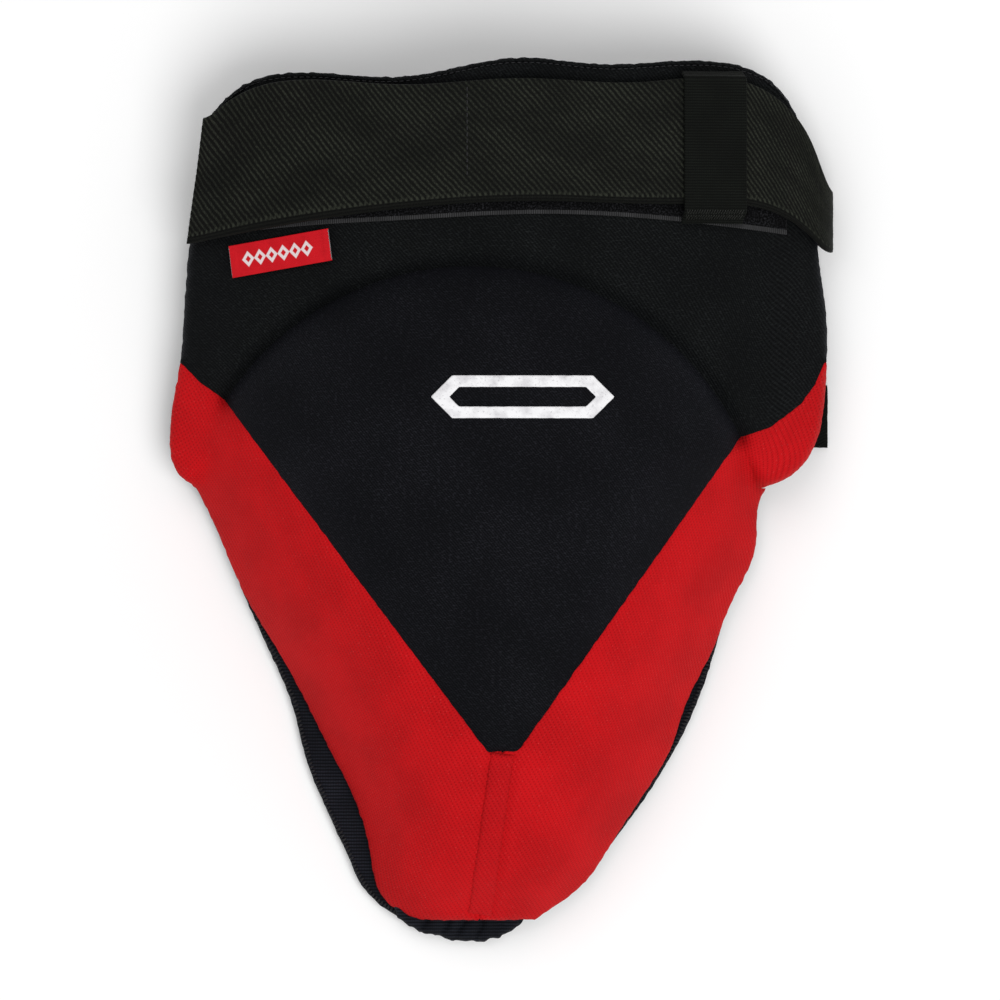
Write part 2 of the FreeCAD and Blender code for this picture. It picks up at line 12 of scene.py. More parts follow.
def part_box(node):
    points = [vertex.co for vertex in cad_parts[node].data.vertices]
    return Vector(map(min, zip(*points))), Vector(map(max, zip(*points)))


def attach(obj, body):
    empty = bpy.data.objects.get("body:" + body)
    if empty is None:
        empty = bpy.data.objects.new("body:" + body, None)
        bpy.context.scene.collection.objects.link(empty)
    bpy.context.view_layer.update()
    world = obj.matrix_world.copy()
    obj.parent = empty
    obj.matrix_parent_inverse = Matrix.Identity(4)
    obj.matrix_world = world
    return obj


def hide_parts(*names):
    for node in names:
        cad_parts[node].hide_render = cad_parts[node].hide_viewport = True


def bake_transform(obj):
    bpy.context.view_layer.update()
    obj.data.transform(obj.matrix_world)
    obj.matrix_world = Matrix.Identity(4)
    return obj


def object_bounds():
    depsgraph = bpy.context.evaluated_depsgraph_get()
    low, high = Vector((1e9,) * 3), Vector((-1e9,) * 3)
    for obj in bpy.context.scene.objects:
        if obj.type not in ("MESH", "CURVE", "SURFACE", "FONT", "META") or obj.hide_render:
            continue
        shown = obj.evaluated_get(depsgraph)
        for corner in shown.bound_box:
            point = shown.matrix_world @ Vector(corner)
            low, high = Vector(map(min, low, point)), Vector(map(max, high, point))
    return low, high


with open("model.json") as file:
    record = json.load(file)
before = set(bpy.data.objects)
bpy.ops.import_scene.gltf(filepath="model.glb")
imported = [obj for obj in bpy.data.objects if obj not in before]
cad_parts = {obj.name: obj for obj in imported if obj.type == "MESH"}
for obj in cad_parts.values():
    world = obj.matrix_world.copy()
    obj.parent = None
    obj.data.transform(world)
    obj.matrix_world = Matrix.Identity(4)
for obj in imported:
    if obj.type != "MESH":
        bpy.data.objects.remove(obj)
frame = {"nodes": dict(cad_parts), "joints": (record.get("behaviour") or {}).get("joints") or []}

# Lengths are in millimetres until a mesh is made. The guard lies on its back: +Z is its front,
# +Y its waist. Every place comes from the CAD frame.
MM = 0.001
cad_box = [list(corner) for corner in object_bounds()]

joint_at = {joint["name"]: np.array(joint["pos_m"]) / MM for joint in frame["joints"]}
HIP_AXIS_Z = joint_at["belt_tighten"][2]


# ---- small tools --------------------------------------------------------------------------
def node_box(name):
    low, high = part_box(name)
    return np.array(low) / MM, np.array(high) / MM


def smoothstep(low, high, value):
    t = np.clip((value - low) / (high - low), 0.0, 1.0)
    return t * t * (3 - 2 * t)


def ripple(x, y, size, seed=0.0):
    """Smooth noise between about -1 and 1 at plan points, `size` mm from crest to crest."""
    flat = zip(np.ravel(x) / size, np.ravel(y) / size)
    values = [noise.noise(Vector((a, b, seed))) for a, b in flat]
    return np.array(values).reshape(np.shape(x)) * 1.8


def unit(vectors):
    return vectors / np.maximum(np.linalg.norm(vectors, axis=-1, keepdims=True), 1e-12)


def resample(points, step, closed=False):
    """Points spaced evenly along a line."""
    points = np.asarray(points, float)
    if closed:
        points = np.vstack([points, points[:1]])
    length = np.concatenate([[0], np.cumsum(np.linalg.norm(np.diff(points, axis=0), axis=1))])
    count = max(int(round(length[-1] / step)), 2)
    at = np.linspace(0, length[-1], count + 1)
    if closed:
        at = at[:-1]
    return np.stack([np.interp(at, length, column) for column in points.T], axis=1)


def curve_through(points, step=1.0):
    """Catmull-Rom curve through a few points, evenly sampled."""
    p = np.asarray(points, float)
    p = np.vstack([2 * p[0] - p[1], p, 2 * p[-1] - p[-2]])
    t = np.linspace(0, 1, 17)[:-1, None]
    runs = []
    for a, b, c, d in zip(p[:-3], p[1:-2], p[2:-1], p[3:]):
        runs.append(0.5 * (2 * b + (c - a) * t + (2 * a - 5 * b + 4 * c - d) * t ** 2
                           + (3 * b - a - 3 * c + d) * t ** 3))
    return resample(np.vstack(runs + [p[-2:-1]]), step)


def inside(points, loop):
    """Whether each plan point is inside a closed loop."""
    result = np.zeros(len(points), bool)
    ends = np.roll(loop, -1, axis=0)
    for (x0, y0), (x1, y1) in zip(loop, ends):
        if y0 == y1:
            continue
        crosses = (y0 > points[:, 1]) != (y1 > points[:, 1])
        at = x0 + (points[:, 1] - y0) * (x1 - x0) / (y1 - y0)
        result ^= crosses & (points[:, 0] < at)
    return result


def to_outline(points, loop):
    """Distance of each plan point to a closed loop, and the nearest place on the loop."""
    fine = resample(loop, 1.0, closed=True)
    tree = KDTree(len(fine))
    for number, (x, y) in enumerate(fine.tolist()):
        tree.insert((x, y, 0), number)
    tree.balance()
    which = np.array([tree.find((x, y, 0))[1] for x, y in points.tolist()], int)
    best = np.full(len(points), 1e9)
    place = np.zeros((len(points), 2))
    for start, end in ((fine[which - 1], fine[which]), (fine[which], fine[(which + 1) % len(fine)])):
        run = end - start
        t = ((points - start) * run).sum(1) / np.maximum((run ** 2).sum(1), 1e-12)
        near = start + np.clip(t, 0, 1)[:, None] * run
        gap = np.linalg.norm(points - near, axis=1)
        closer = gap < best
        best[closer] = gap[closer]
        place[closer] = near[closer]
    return best, place


def signed_area(loop):
    x, y = loop[:, 0], loop[:, 1]
    return 0.5 * float((x * np.roll(y, -1) - np.roll(x, -1) * y).sum())


# ---- reading the frame ---------------------------------------------------------------------
def triangles_of(names):
    """Corner points in mm, and the triangles between them, of some nodes together."""
    points, triangles, count = [], [], 0
    for name in names:
        mesh = frame["nodes"][name].data
        mesh.calc_loop_triangles()
        co = np.zeros(len(mesh.vertices) * 3)
        mesh.vertices.foreach_get("co", co)
        index = np.zeros(len(mesh.loop_triangles) * 3, int)
        mesh.loop_triangles.foreach_get("vertices", index)
        points.append(co.reshape(-1, 3) / MM)
        triangles.append(index.reshape(-1, 3) + count)
        count += len(co) // 3
    return np.vstack(points), np.vstack(triangles)


def top_loops(names, lowest_slope=0.04, from_below=False):
    """Plan outlines of the upward faces of some nodes, counterclockwise, largest first."""
    points, triangles = triangles_of(names)
    if from_below:
        points = points * [1, 1, -1]
        triangles = triangles[:, ::-1]
    _, weld, back = np.unique(np.round(points, 3), axis=0, return_index=True, return_inverse=True)
    points, triangles = points[weld], back.reshape(-1)[triangles]
    a, b, c = (points[triangles[:, k]] for k in range(3))
    normal = np.cross(b - a, c - a)
    size = np.linalg.norm(normal, axis=1)
    up = triangles[(size > 1e-9) & (normal[:, 2] > lowest_slope * size)]
    half = set(map(tuple, np.vstack([up[:, [0, 1]], up[:, [1, 2]], up[:, [2, 0]]]).tolist()))
    after = {}
    for s, e in half:
        if (e, s) not in half:
            after.setdefault(s, []).append(e)
    loops = []
    while after:
        start = next(iter(after))
        loop, here = [start], start
        while True:
            choices = after.get(here)
            if not choices:
                break
            step = choices.pop()
            if not choices:
                del after[here]
            if step == start:
                break
            loop.append(step)
            here = step
        if len(loop) > 3:
            loops.append(points[loop][:, :2])
    return sorted(loops, key=lambda loop: -abs(signed_area(loop)))


def joined(first, second, reach=1.2):
    """One loop round two loops that lie side by side, `reach` mm apart at most."""
    runs = []
    for loop, other in ((first, second), (second, first)):
        loop = resample(loop, 0.5, closed=True)
        apart = to_outline(loop, other)[0] > reach
        start = int(np.flatnonzero(apart & ~np.roll(apart, 1))[0])
        apart, loop = np.roll(apart, -start), np.roll(loop, -start, axis=0)
        runs.append(loop[apart])
    return np.vstack(runs)


GRID_STEP = 1.0
GRID_MARGIN = 6.0
WEAVE_BLUR = 6.0


class Relief:
    """Heights of some CAD faces over the plan, blurred a little as cloth over foam is."""

    def __init__(self, names, above=True, blur=2.0):
        low, high = np.array(cad_box[0]) / MM, np.array(cad_box[1]) / MM
        self.x = np.arange(low[0] - GRID_MARGIN, high[0] + GRID_MARGIN, GRID_STEP)
        self.y = np.arange(low[1] - GRID_MARGIN, high[1] + GRID_MARGIN, GRID_STEP)
        points, triangles = triangles_of(names)
        tree = BVHTree.FromPolygons(points.tolist(), triangles.tolist())
        down = Vector((0, 0, -1 if above else 1))
        start_z = (high[2] + 50) if above else -50.0
        height = np.full((len(self.y), len(self.x)), np.nan)
        for row, y in enumerate(self.y):
            for column, x in enumerate(self.x):
                hit = tree.ray_cast(Vector((x, y, start_z)), down)[0]
                if hit is not None:
                    height[row, column] = hit.z
        self.z = self.blurred(self.filled(height), blur)
        slope_y, slope_x = np.gradient(self.z, GRID_STEP)
        across = np.cumsum(np.sqrt(1 + slope_x ** 2), axis=1) * GRID_STEP
        along = np.cumsum(np.sqrt(1 + slope_y ** 2), axis=0) * GRID_STEP
        middle_x, middle_y = len(self.x) // 2, len(self.y) // 2
        self.u = self.blurred(across - across[:, middle_x:middle_x + 1], WEAVE_BLUR)
        self.v = self.blurred(along - along[middle_y:middle_y + 1], WEAVE_BLUR)

    @staticmethod
    def filled(height):
        """Height with the empty cells round it filled from their neighbours."""
        for _ in range(14):
            empty = np.isnan(height)
            if not empty.any():
                break
            padded = np.pad(height, 1, constant_values=np.nan)
            near = np.stack([padded[i:i + height.shape[0], j:j + height.shape[1]]
                             for i in range(3) for j in range(3)])
            known = ~np.isnan(near)
            total = np.where(known, near, 0).sum(0)
            count = known.sum(0)
            grow = empty & (count > 0)
            height = np.where(grow, total / np.maximum(count, 1), height)
        return np.where(np.isnan(height), np.nanmin(height), height)

    @staticmethod
    def blurred(grid, blur):
        reach = int(math.ceil(3 * blur))
        weights = np.exp(-0.5 * (np.arange(-reach, reach + 1) / blur) ** 2)
        weights /= weights.sum()
        for axis in (0, 1):
            padded = np.pad(grid, [(reach, reach) if k == axis else (0, 0) for k in (0, 1)], "edge")
            size = grid.shape[axis]
            grid = sum(w * np.take(padded, range(k, k + size), axis) for k, w in enumerate(weights))
        return grid

    def sample(self, grid, x, y):
        fx = np.clip((np.asarray(x) - self.x[0]) / GRID_STEP, 0, len(self.x) - 1.001)
        fy = np.clip((np.asarray(y) - self.y[0]) / GRID_STEP, 0, len(self.y) - 1.001)
        ix, iy = fx.astype(int), fy.astype(int)
        tx, ty = fx - ix, fy - iy
        low = grid[iy, ix] * (1 - tx) + grid[iy, ix + 1] * tx
        high = grid[iy + 1, ix] * (1 - tx) + grid[iy + 1, ix + 1] * tx
        return low * (1 - ty) + high * ty

    def __call__(self, x, y):
        return self.sample(self.z, x, y)

    def weave(self, x, y):
        """Cloth coordinates that follow the surface, in mm."""
        return np.stack([self.sample(self.u, x, y), self.sample(self.v, x, y)], axis=-1)


# ---- making meshes -------------------------------------------------------------------------
def make_object(name, vertices, faces, weave):
    """Mesh object from mm points; `weave` holds each vertex's cloth coordinates in mm."""
    mesh = bpy.data.meshes.new(name)
    mesh.from_pydata((np.asarray(vertices) * MM).tolist(), [], [tuple(f) for f in faces])
    mesh.validate()
    layer = mesh.uv_layers.new(name="weave")
    index = np.zeros(len(mesh.loops), int)
    mesh.loops.foreach_get("vertex_index", index)
    layer.data.foreach_set("uv", np.asarray(weave, np.float32)[index].ravel())
    mesh.polygons.foreach_set("use_smooth", [True] * len(mesh.polygons))
    mesh.update()
    piece = bpy.data.objects.new(name, mesh)
    bpy.context.scene.collection.objects.link(piece)
    return piece


def finish_piece(piece, body, material, slot_name, *nodes):
    piece.data.materials.append(material)
    if body:
        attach(piece, body)
    if nodes:
        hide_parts(*nodes)
    return piece


def slab(name, place, us, vs, thickness, relief):
    """Closed strip over a grid: place(u, v) gives its middle layer, relief(u, v) what is added."""
    grid_u, grid_v = np.meshgrid(us, vs, indexing="ij")
    middle = place(grid_u, grid_v)
    du = np.gradient(middle, axis=0)
    dv = np.gradient(middle, axis=1)
    normal = unit(np.cross(du, dv))
    edge = thickness / 2
    to_rim = np.minimum(grid_v - vs[0], vs[-1] - grid_v)
    to_rim = np.minimum(to_rim, np.minimum(grid_u - us[0], us[-1] - grid_u))
    body = np.sqrt(np.clip(1 - (1 - np.clip(to_rim / edge, 0, 1)) ** 2, 0, 1))
    half = (edge * np.maximum(body, 0.12))[..., None]
    lift = (relief(grid_u, grid_v) * body)[..., None]
    top = middle + normal * (half + lift)
    bottom = middle - normal * half
    n, m = grid_u.shape
    index = np.arange(n * m).reshape(n, m)
    quads = np.stack([index[:-1, :-1], index[1:, :-1], index[1:, 1:], index[:-1, 1:]], -1).reshape(-1, 4)
    rim = np.concatenate([index[:, 0], index[-1, 1:], index[-2::-1, -1], index[0, -2:0:-1]])
    after = np.roll(rim, -1)
    total = n * m
    side = np.stack([after, rim, rim + total, after + total], -1)
    faces = np.vstack([quads, quads[:, ::-1] + total, side])
    cloth = np.vstack([np.stack([grid_u, grid_v], -1).reshape(-1, 2)] * 2)
    return make_object(name, np.vstack([top.reshape(-1, 3), bottom.reshape(-1, 3)]), faces, cloth)


def rim_spacing(length, step, thickness):
    """Even steps with a few close ones at both ends, for a rounded rim."""
    close = np.array([0, 0.08, 0.3, 0.65, 1.0]) * thickness / 2
    inner = np.linspace(close[-1], length - close[-1], max(int(length / step), 2) + 1)
    return np.concatenate([close[:-1], inner, length - close[-2::-1]])


def tubes(name, paths, radius, sides=5):
    """Threads: one thin tube along each path, with closed ends."""
    vertices, faces, weave, count = [], [], [], 0
    turns = np.linspace(0, 2 * math.pi, sides, endpoint=False)
    for path in paths:
        path = np.asarray(path, float)
        run = unit(np.gradient(path, axis=0))
        up = np.where(np.abs(run[:, 2:3]) > 0.9, [[1.0, 0, 0]], [[0, 0, 1.0]])
        side = unit(np.cross(run, up))
        up = np.cross(side, run)
        ring = (np.cos(turns)[None, :, None] * side[:, None] + np.sin(turns)[None, :, None] * up[:, None])
        taper = np.ones(len(path))
        taper[[0, -1]] = 0.5
        vertices.append((path[:, None] + ring * radius * taper[:, None, None]).reshape(-1, 3))
        length = np.concatenate([[0], np.cumsum(np.linalg.norm(np.diff(path, axis=0), axis=1))])
        weave.append(np.stack(np.broadcast_arrays(length[:, None], turns[None] * radius), -1).reshape(-1, 2))
        index = np.arange(len(path) * sides).reshape(len(path), sides) + count
        turned = np.roll(index, -1, axis=1)
        faces += np.stack([index[:-1], turned[:-1], turned[1:], index[1:]], -1).reshape(-1, 4).tolist()
        faces += [index[0, ::-1].tolist(), index[-1].tolist()]
        count += len(path) * sides
    return make_object(name, np.vstack(vertices), faces, np.vstack(weave))


class Panel:
    """A cut of cloth over a surface: mesh in plan, its rim rolled down at seams and free edges."""

    def __init__(self, loops, surface, pitch=1.7, step=1.2, fray=0.22, spread=0.0):
        self.surface = surface
        loops = [resample(loop, step, closed=True) for loop in loops]
        for loop in loops:
            run = unit(np.roll(loop, -1, axis=0) - np.roll(loop, 1, axis=0))
            loop += spread * np.stack([run[:, 1], -run[:, 0]], 1) * np.sign(signed_area(loops[0]))
        loops = [loop + fray * np.stack([ripple(*loop.T, 2.6, 1.0), ripple(*loop.T, 2.6, 5.0)], 1)
                 for loop in loops]
        outer = loops[0]
        starts = np.cumsum([0] + [len(loop) for loop in loops])
        rim = np.vstack(loops)
        segments = [(int(s + k), int(s + (k + 1) % len(loop)))
                    for s, loop in zip(starts, loops) for k in range(len(loop))]
        rings = []
        for loop in loops:
            before, after = np.roll(loop, 1, axis=0), np.roll(loop, -1, axis=0)
            run = unit(after - before)
            inward = np.stack([-run[:, 1], run[:, 0]], 1) * np.sign(signed_area(outer))
            for depth in (0.3, 0.8, 1.5):
                rings.append((loop + inward * depth, 0.8 * depth))
        low, high = outer.min(0), outer.max(0)
        rows = np.arange(low[1], high[1], pitch * 0.866)
        grid = np.array([(x + (row % 2) * pitch / 2, y) for row, y in enumerate(rows)
                         for x in np.arange(low[0], high[0], pitch)])
        rings.append((grid, 2.3))
        kept = [rim]
        for points, clear in rings:
            points = points[self.within(points, loops)]
            if len(points):
                gap = np.min([to_outline(points, loop)[0] for loop in loops], axis=0)
                kept.append(points[gap > clear])
        flat = np.vstack(kept)
        mesh = delaunay_2d_cdt([Vector(p) for p in flat.tolist()], segments, [], 0, 1e-5)
        points = np.array([tuple(p) for p in mesh[0]])
        faces = np.array([f for f in mesh[2] if len(f) == 3])
        middle = points[faces].mean(1)
        faces = faces[self.within(middle, loops)]
        used = np.unique(faces)
        renumber = np.zeros(len(points), int)
        renumber[used] = np.arange(len(used))
        self.plan, self.faces = points[used], renumber[faces]
        gaps = [to_outline(self.plan, loop) for loop in loops]
        nearest = np.argmin([gap for gap, _ in gaps], axis=0)
        self.depth = np.min([gap for gap, _ in gaps], axis=0)
        self.rim_point = np.array([gaps[k][1][i] for i, k in enumerate(nearest)])

    @staticmethod
    def within(points, loops):
        result = inside(points, loops[0])
        for hole in loops[1:]:
            result &= ~inside(points, hole)
        return result

    def build(self, name, thickness, roll, drop, lift=0.0, weave=None, under=None):
        """Closed mesh: `roll` mm of rim turns down by `drop` mm, each given per vertex or for all."""
        x, y = self.plan.T
        z = self.surface(x, y) + lift
        turn = np.clip(1 - self.depth / roll, 0, 1)
        bend = 1 - np.sqrt(np.clip(1 - turn ** 2, 0, 1))
        top = np.stack([x, y, z - drop * bend], 1)
        below = np.full(len(x), float(thickness)) if under is None else under(self)
        bottom = np.stack([x, y, z - np.maximum(below, drop * bend)], 1)
        bottom[:, 2] -= np.where(bend > 0, 0.02, 0)
        a, b, c = (top[self.faces[:, k]] for k in range(3))
        if np.cross(b - a, c - a)[:, 2].sum() < 0:
            self.faces = self.faces[:, ::-1]
        half = {}
        for face in self.faces.tolist():
            for s, e in zip(face, face[1:] + face[:1]):
                half[(s, e)] = True
        rim = [(s, e) for s, e in half if (e, s) not in half]
        total = len(top)
        faces = self.faces.tolist() + (self.faces[:, ::-1] + total).tolist()
        faces += [(e, s, s + total, e + total) for s, e in rim]
        cloth = self.surface.weave(x, y) if weave is None else weave(x, y)
        return make_object(name, np.vstack([top, bottom]), faces, np.vstack([cloth, cloth]))


class Level:
    """A flat surface at one height."""

    def __init__(self, z):
        self.z = z

    def __call__(self, x, y):
        return np.full(np.shape(x), float(self.z))

    def weave(self, x, y):
        return np.stack([x, y], -1)


# ---- materials -----------------------------------------------------------------------------
class Finish:
    """A procedural material. Patterns are drawn in cloth millimetres, or object ones if `solid`."""

    def __init__(self, name, roughness=0.85, specular=0.3, sheen=0.0, sheen_tint=(1, 1, 1), solid=False):
        self.material = bpy.data.materials.new(name)
        self.material.use_nodes = True
        self.tree = self.material.node_tree
        self.shader = self.tree.nodes["Principled BSDF"]
        self.shader.inputs["Roughness"].default_value = roughness
        self.shader.inputs["Specular IOR Level"].default_value = specular
        self.shader.inputs["Sheen Weight"].default_value = sheen
        self.shader.inputs["Sheen Roughness"].default_value = 0.45
        self.shader.inputs["Sheen Tint"].default_value = (*sheen_tint, 1)
        if solid:
            coordinates = self.node("ShaderNodeTexCoord").outputs["Object"]
        else:
            coordinates = self.node("ShaderNodeUVMap", uv_map="weave").outputs["UV"]
        scaled = self.node("ShaderNodeVectorMath", operation="SCALE")
        self.link(coordinates, scaled.inputs[0])
        scaled.inputs["Scale"].default_value = 1 / MM if solid else 1.0
        self.place = scaled.outputs[0]
        split = self.node("ShaderNodeSeparateXYZ")
        self.link(self.place, split.inputs[0])
        self.u, self.v, _ = split.outputs

    def node(self, kind, **settings):
        made = self.tree.nodes.new(kind)
        for key, value in settings.items():
            setattr(made, key, value)
        return made

    def link(self, source, socket):
        if isinstance(source, (int, float)):
            socket.default_value = source
        elif isinstance(source, tuple):
            socket.default_value = (*source, 1)
        else:
            self.tree.links.new(source, socket)

    def math(self, operation, *values):
        made = self.node("ShaderNodeMath", operation=operation)
        for value, socket in zip(values, made.inputs):
            self.link(value, socket)
        return made.outputs[0]

    def plus(self, first, second):
        return self.math("ADD", first, second)

    def minus(self, first, second):
        return self.math("SUBTRACT", first, second)

    def times(self, first, second):
        return self.math("MULTIPLY", first, second)

    def times_plus(self, first, second, third):
        return self.math("MULTIPLY_ADD", first, second, third)

    def wave(self, value, period, phase=0.0):
        """Sine of a coordinate, from 0 to 1."""
        turned = self.times_plus(value, 2 * math.pi / period, phase)
        return self.times_plus(self.math("SINE", turned), 0.5, 0.5)

    def noise(self, size, detail=2.0, stretch=None):
        """Noise with cells of `size` mm, longer along one way if stretched."""
        place = self.place
        if stretch is not None:
            squeezed = self.node("ShaderNodeVectorMath", operation="MULTIPLY")
            self.link(place, squeezed.inputs[0])
            squeezed.inputs[1].default_value = (1 / stretch[0], 1 / stretch[1], 1)
            place = squeezed.outputs[0]
        made = self.node("ShaderNodeTexNoise")
        self.link(place, made.inputs["Vector"])
        made.inputs["Scale"].default_value = 1 / size
        made.inputs["Detail"].default_value = detail
        return made.outputs["Fac"]

    def span(self, value, low, high, to_low=0.0, to_high=1.0):
        """Smooth step of a value between two limits."""
        made = self.node("ShaderNodeMapRange", interpolation_type="SMOOTHSTEP")
        for number, socket in zip((value, low, high, to_low, to_high), made.inputs):
            self.link(number, socket)
        return made.outputs[0]

    def mix(self, factor, dark, light):
        made = self.node("ShaderNodeMix", data_type="RGBA")
        self.link(factor, made.inputs["Factor"])
        self.link(dark, made.inputs["A"])
        self.link(light, made.inputs["B"])
        return made.outputs["Result"]

    def finish(self, color, height, depth, roughness=None):
        """Joins the patterns to the shader; `depth` is the relief's height in mm."""
        self.link(color, self.shader.inputs["Base Color"])
        bump = self.node("ShaderNodeBump")
        bump.inputs["Strength"].default_value = 1.0
        bump.inputs["Distance"].default_value = depth * MM
        self.link(height, bump.inputs["Height"])
        self.link(bump.outputs[0], self.shader.inputs["Normal"])
        if roughness is not None:
            self.link(roughness, self.shader.inputs["Roughness"])
        return self.material


def twill(name, dark, light, period=1.25):
    """Denim-like twill: fine diagonal cords broken into yarns, with worn lighter flecks."""
    f = Finish(name, roughness=0.9, specular=0.06, sheen=0.02, sheen_tint=(0.7, 0.75, 1))
    diagonal = f.plus(f.u, f.times(f.v, 0.85))
    along = f.minus(f.v, f.times(f.u, 0.35))
    wander = f.times(f.noise(3.0), 0.5)
    cord = f.wave(f.plus(diagonal, wander), period)
    yarn = f.wave(along, 0.9)
    fleck = f.span(f.noise(0.7, 1.0, stretch=(2.2, 1.0)), 0.52, 0.72)
    patch = f.span(f.noise(38.0, 4.0), 0.3, 0.7)
    height = f.times(cord, f.times_plus(yarn, 0.45, 0.55))
    shade = f.times_plus(fleck, 0.5, f.times(height, 0.55))
    shade = f.times(shade, f.times_plus(patch, 0.5, 0.6))
    return f.finish(f.mix(shade, dark, light), height, 0.16, f.span(cord, 0, 1, 0.8, 0.95))


def birdseye(name, dark, light, speck):
    """Brushed warp knit: staggered small eyes with lighter specks between them."""
    f = Finish(name, roughness=0.85, specular=0.08, sheen=0.04, sheen_tint=(1, 0.25, 0.2))
    left = f.plus(f.u, f.times(f.v, 0.5))
    right = f.minus(f.v, f.times(f.u, 0.75))
    eye = f.times(f.wave(left, 1.9), f.times_plus(f.wave(right, 1.5), 0.75, 0.25))
    eye = f.minus(1.0, f.times(eye, 0.9))
    fuzz = f.noise(0.6, 2.0)
    patch = f.span(f.noise(30.0, 3.0), 0.3, 0.7)
    height = f.times_plus(fuzz, 0.3, eye)
    shade = f.times_plus(patch, 0.3, f.times(f.span(height, 0.05, 0.85), 0.7))
    color = f.mix(shade, dark, light)
    glint = f.times(f.span(fuzz, 0.6, 0.78), f.span(eye, 0.3, 0.9))
    return f.finish(f.mix(glint, color, speck), height, 0.2)


def knitted(name, dark, light, period=1.4, depth=0.2, roughness=0.85, specular=0.08, sheen=0.02):
    """Plain knit or webbing: crossing rows of yarn."""
    f = Finish(name, roughness, specular, sheen)
    row = f.wave(f.plus(f.v, f.times(f.noise(2.0), 0.3)), period)
    wale = f.wave(f.u, period * 0.8, 0.7)
    fuzz = f.noise(0.5, 2.0)
    yarn = f.times(row, f.times_plus(wale, 0.5, 0.5))
    height = f.times_plus(fuzz, 0.3, yarn)
    patch = f.span(f.noise(18.0, 3.0), 0.3, 0.7)
    shade = f.times(f.span(height, 0.0, 1.1), f.times_plus(patch, 0.5, 0.5))
    return f.finish(f.mix(shade, dark, light), height, depth)


def elastic_finish(name, dark, light, selvedge=False):
    """Woven elastic: its ribs are in the mesh; this adds the yarns that cross them and their fuzz."""
    f = Finish(name, roughness=0.78, specular=0.1, sheen=0.02)
    yarn = f.wave(f.plus(f.v, f.times(f.noise(3.0), 0.8)), 1.0)
    wander = f.times(f.noise(5.0, 1.0), 1.2)
    rib = f.wave(f.plus(f.plus(f.u, f.times(f.v, RIB_LEAN)), wander), RIB_PERIOD)
    fuzz = f.noise(0.6, 2.0, stretch=(1.0, 1.5))
    broken = f.span(fuzz, 0.36, 0.62)
    rib = f.times(f.span(rib, 0.3, 0.95), f.times_plus(broken, 0.75, 0.25))
    height = f.times_plus(fuzz, 0.6, f.times(yarn, 0.5))
    patch = f.span(f.noise(15.0, 3.0, stretch=(2.0, 1.0)), 0.32, 0.68)
    worn = f.times_plus(patch, 0.55, 0.5)
    shade = f.times(f.times_plus(rib, 0.9, 0.06), worn)
    shade = f.times_plus(f.span(fuzz, 0.58, 0.75), 0.3, shade)
    if selvedge:
        edge = f.span(f.v, SELVEDGE - 0.2, SELVEDGE + 0.4)
        tooth = f.times(f.span(f.wave(f.u, TOOTH), 0.45, 0.8), f.span(f.v, 2.6, 4.8, 0.75, 0.0))
        cord = f.times(f.wave(f.v, SELVEDGE / 2), 0.12)
        shade = f.times(f.plus(shade, tooth), edge)
        shade = f.plus(shade, f.times(cord, f.minus(1.0, edge)))
    return f.finish(f.mix(shade, dark, light), height, 0.16, f.span(fuzz, 0.3, 0.7, 0.65, 0.88))


def pile_finish(name, dark, light, edge=None):
    """Brushed loops; `edge` is the colour of a hatched woven selvedge along the lower side."""
    f = Finish(name, roughness=0.9, specular=0.06, sheen=0.05)
    tuft = f.noise(0.8, 3.0)
    patch = f.noise(9.0, 3.0)
    shade = f.times(f.span(tuft, 0.42, 0.75), f.span(patch, 0.25, 0.75, 0.4, 1.0))
    color = f.mix(shade, dark, light)
    if edge is not None:
        hatch = f.times(f.wave(f.u, 0.9), f.span(patch, 0.3, 0.7, 0.45, 1.0))
        woven = f.mix(hatch, tuple(0.25 * part for part in edge), edge)
        color = f.mix(f.span(f.v, LOOP_SELVEDGE - 0.2, LOOP_SELVEDGE + 0.1), woven, color)
    return f.finish(color, tuft, 0.5)


def print_finish(name):
    """Rubbery white print: takes the twill's texture, with a few tiny pits."""
    f = Finish(name, roughness=0.5, specular=0.4)
    diagonal = f.wave(f.plus(f.u, f.times(f.v, 0.85)), 1.25)
    pit = f.span(f.noise(0.9, 2.0), 0.28, 0.4)
    height = f.times_plus(diagonal, 0.35, pit)
    grime = f.span(f.noise(6.0, 3.0), 0.25, 0.6)
    color = f.mix(f.times(pit, grime), (0.62, 0.61, 0.63), (0.86, 0.855, 0.87))
    return f.finish(color, height, 0.08, f.span(pit, 0, 1, 0.75, 0.45))


def label_finish(name, red, white, length, drop):
    """Satin label with a woven white row of small diamonds, a plain mark of its own."""
    f = Finish(name, roughness=0.6, specular=0.12, sheen=0.02, sheen_tint=(1, 0.4, 0.4))
    step = 5.2
    across = f.math("ABSOLUTE", f.minus(f.math("FRACT", f.math("DIVIDE", f.u, step)), 0.5))
    up = f.math("ABSOLUTE", f.minus(f.v, drop / 2))
    diamond = f.plus(f.times(across, 2.0), f.math("DIVIDE", up, drop * 0.24))
    mark = f.span(diamond, 0.95, 1.1, 1.0, 0.0)
    hollow = f.span(diamond, 0.38, 0.5)
    inner = f.times(f.span(f.u, 5.0, 5.3), f.span(f.u, length - 7.6, length - 7.3, 1.0, 0.0))
    mark = f.times(f.times(mark, hollow), inner)
    thread = f.wave(f.v, 0.45)
    cross = f.wave(f.u, 0.6)
    height = f.plus(f.times_plus(cross, 0.3, thread), f.times(mark, 0.8))
    patch = f.span(f.noise(7.0, 3.0), 0.3, 0.7)
    shade = f.times_plus(thread, 0.25, f.times(patch, 0.35))
    red_thread = f.mix(shade, red, (0.7, 0.008, 0.016))
    return f.finish(f.mix(mark, red_thread, white), height, 0.06)


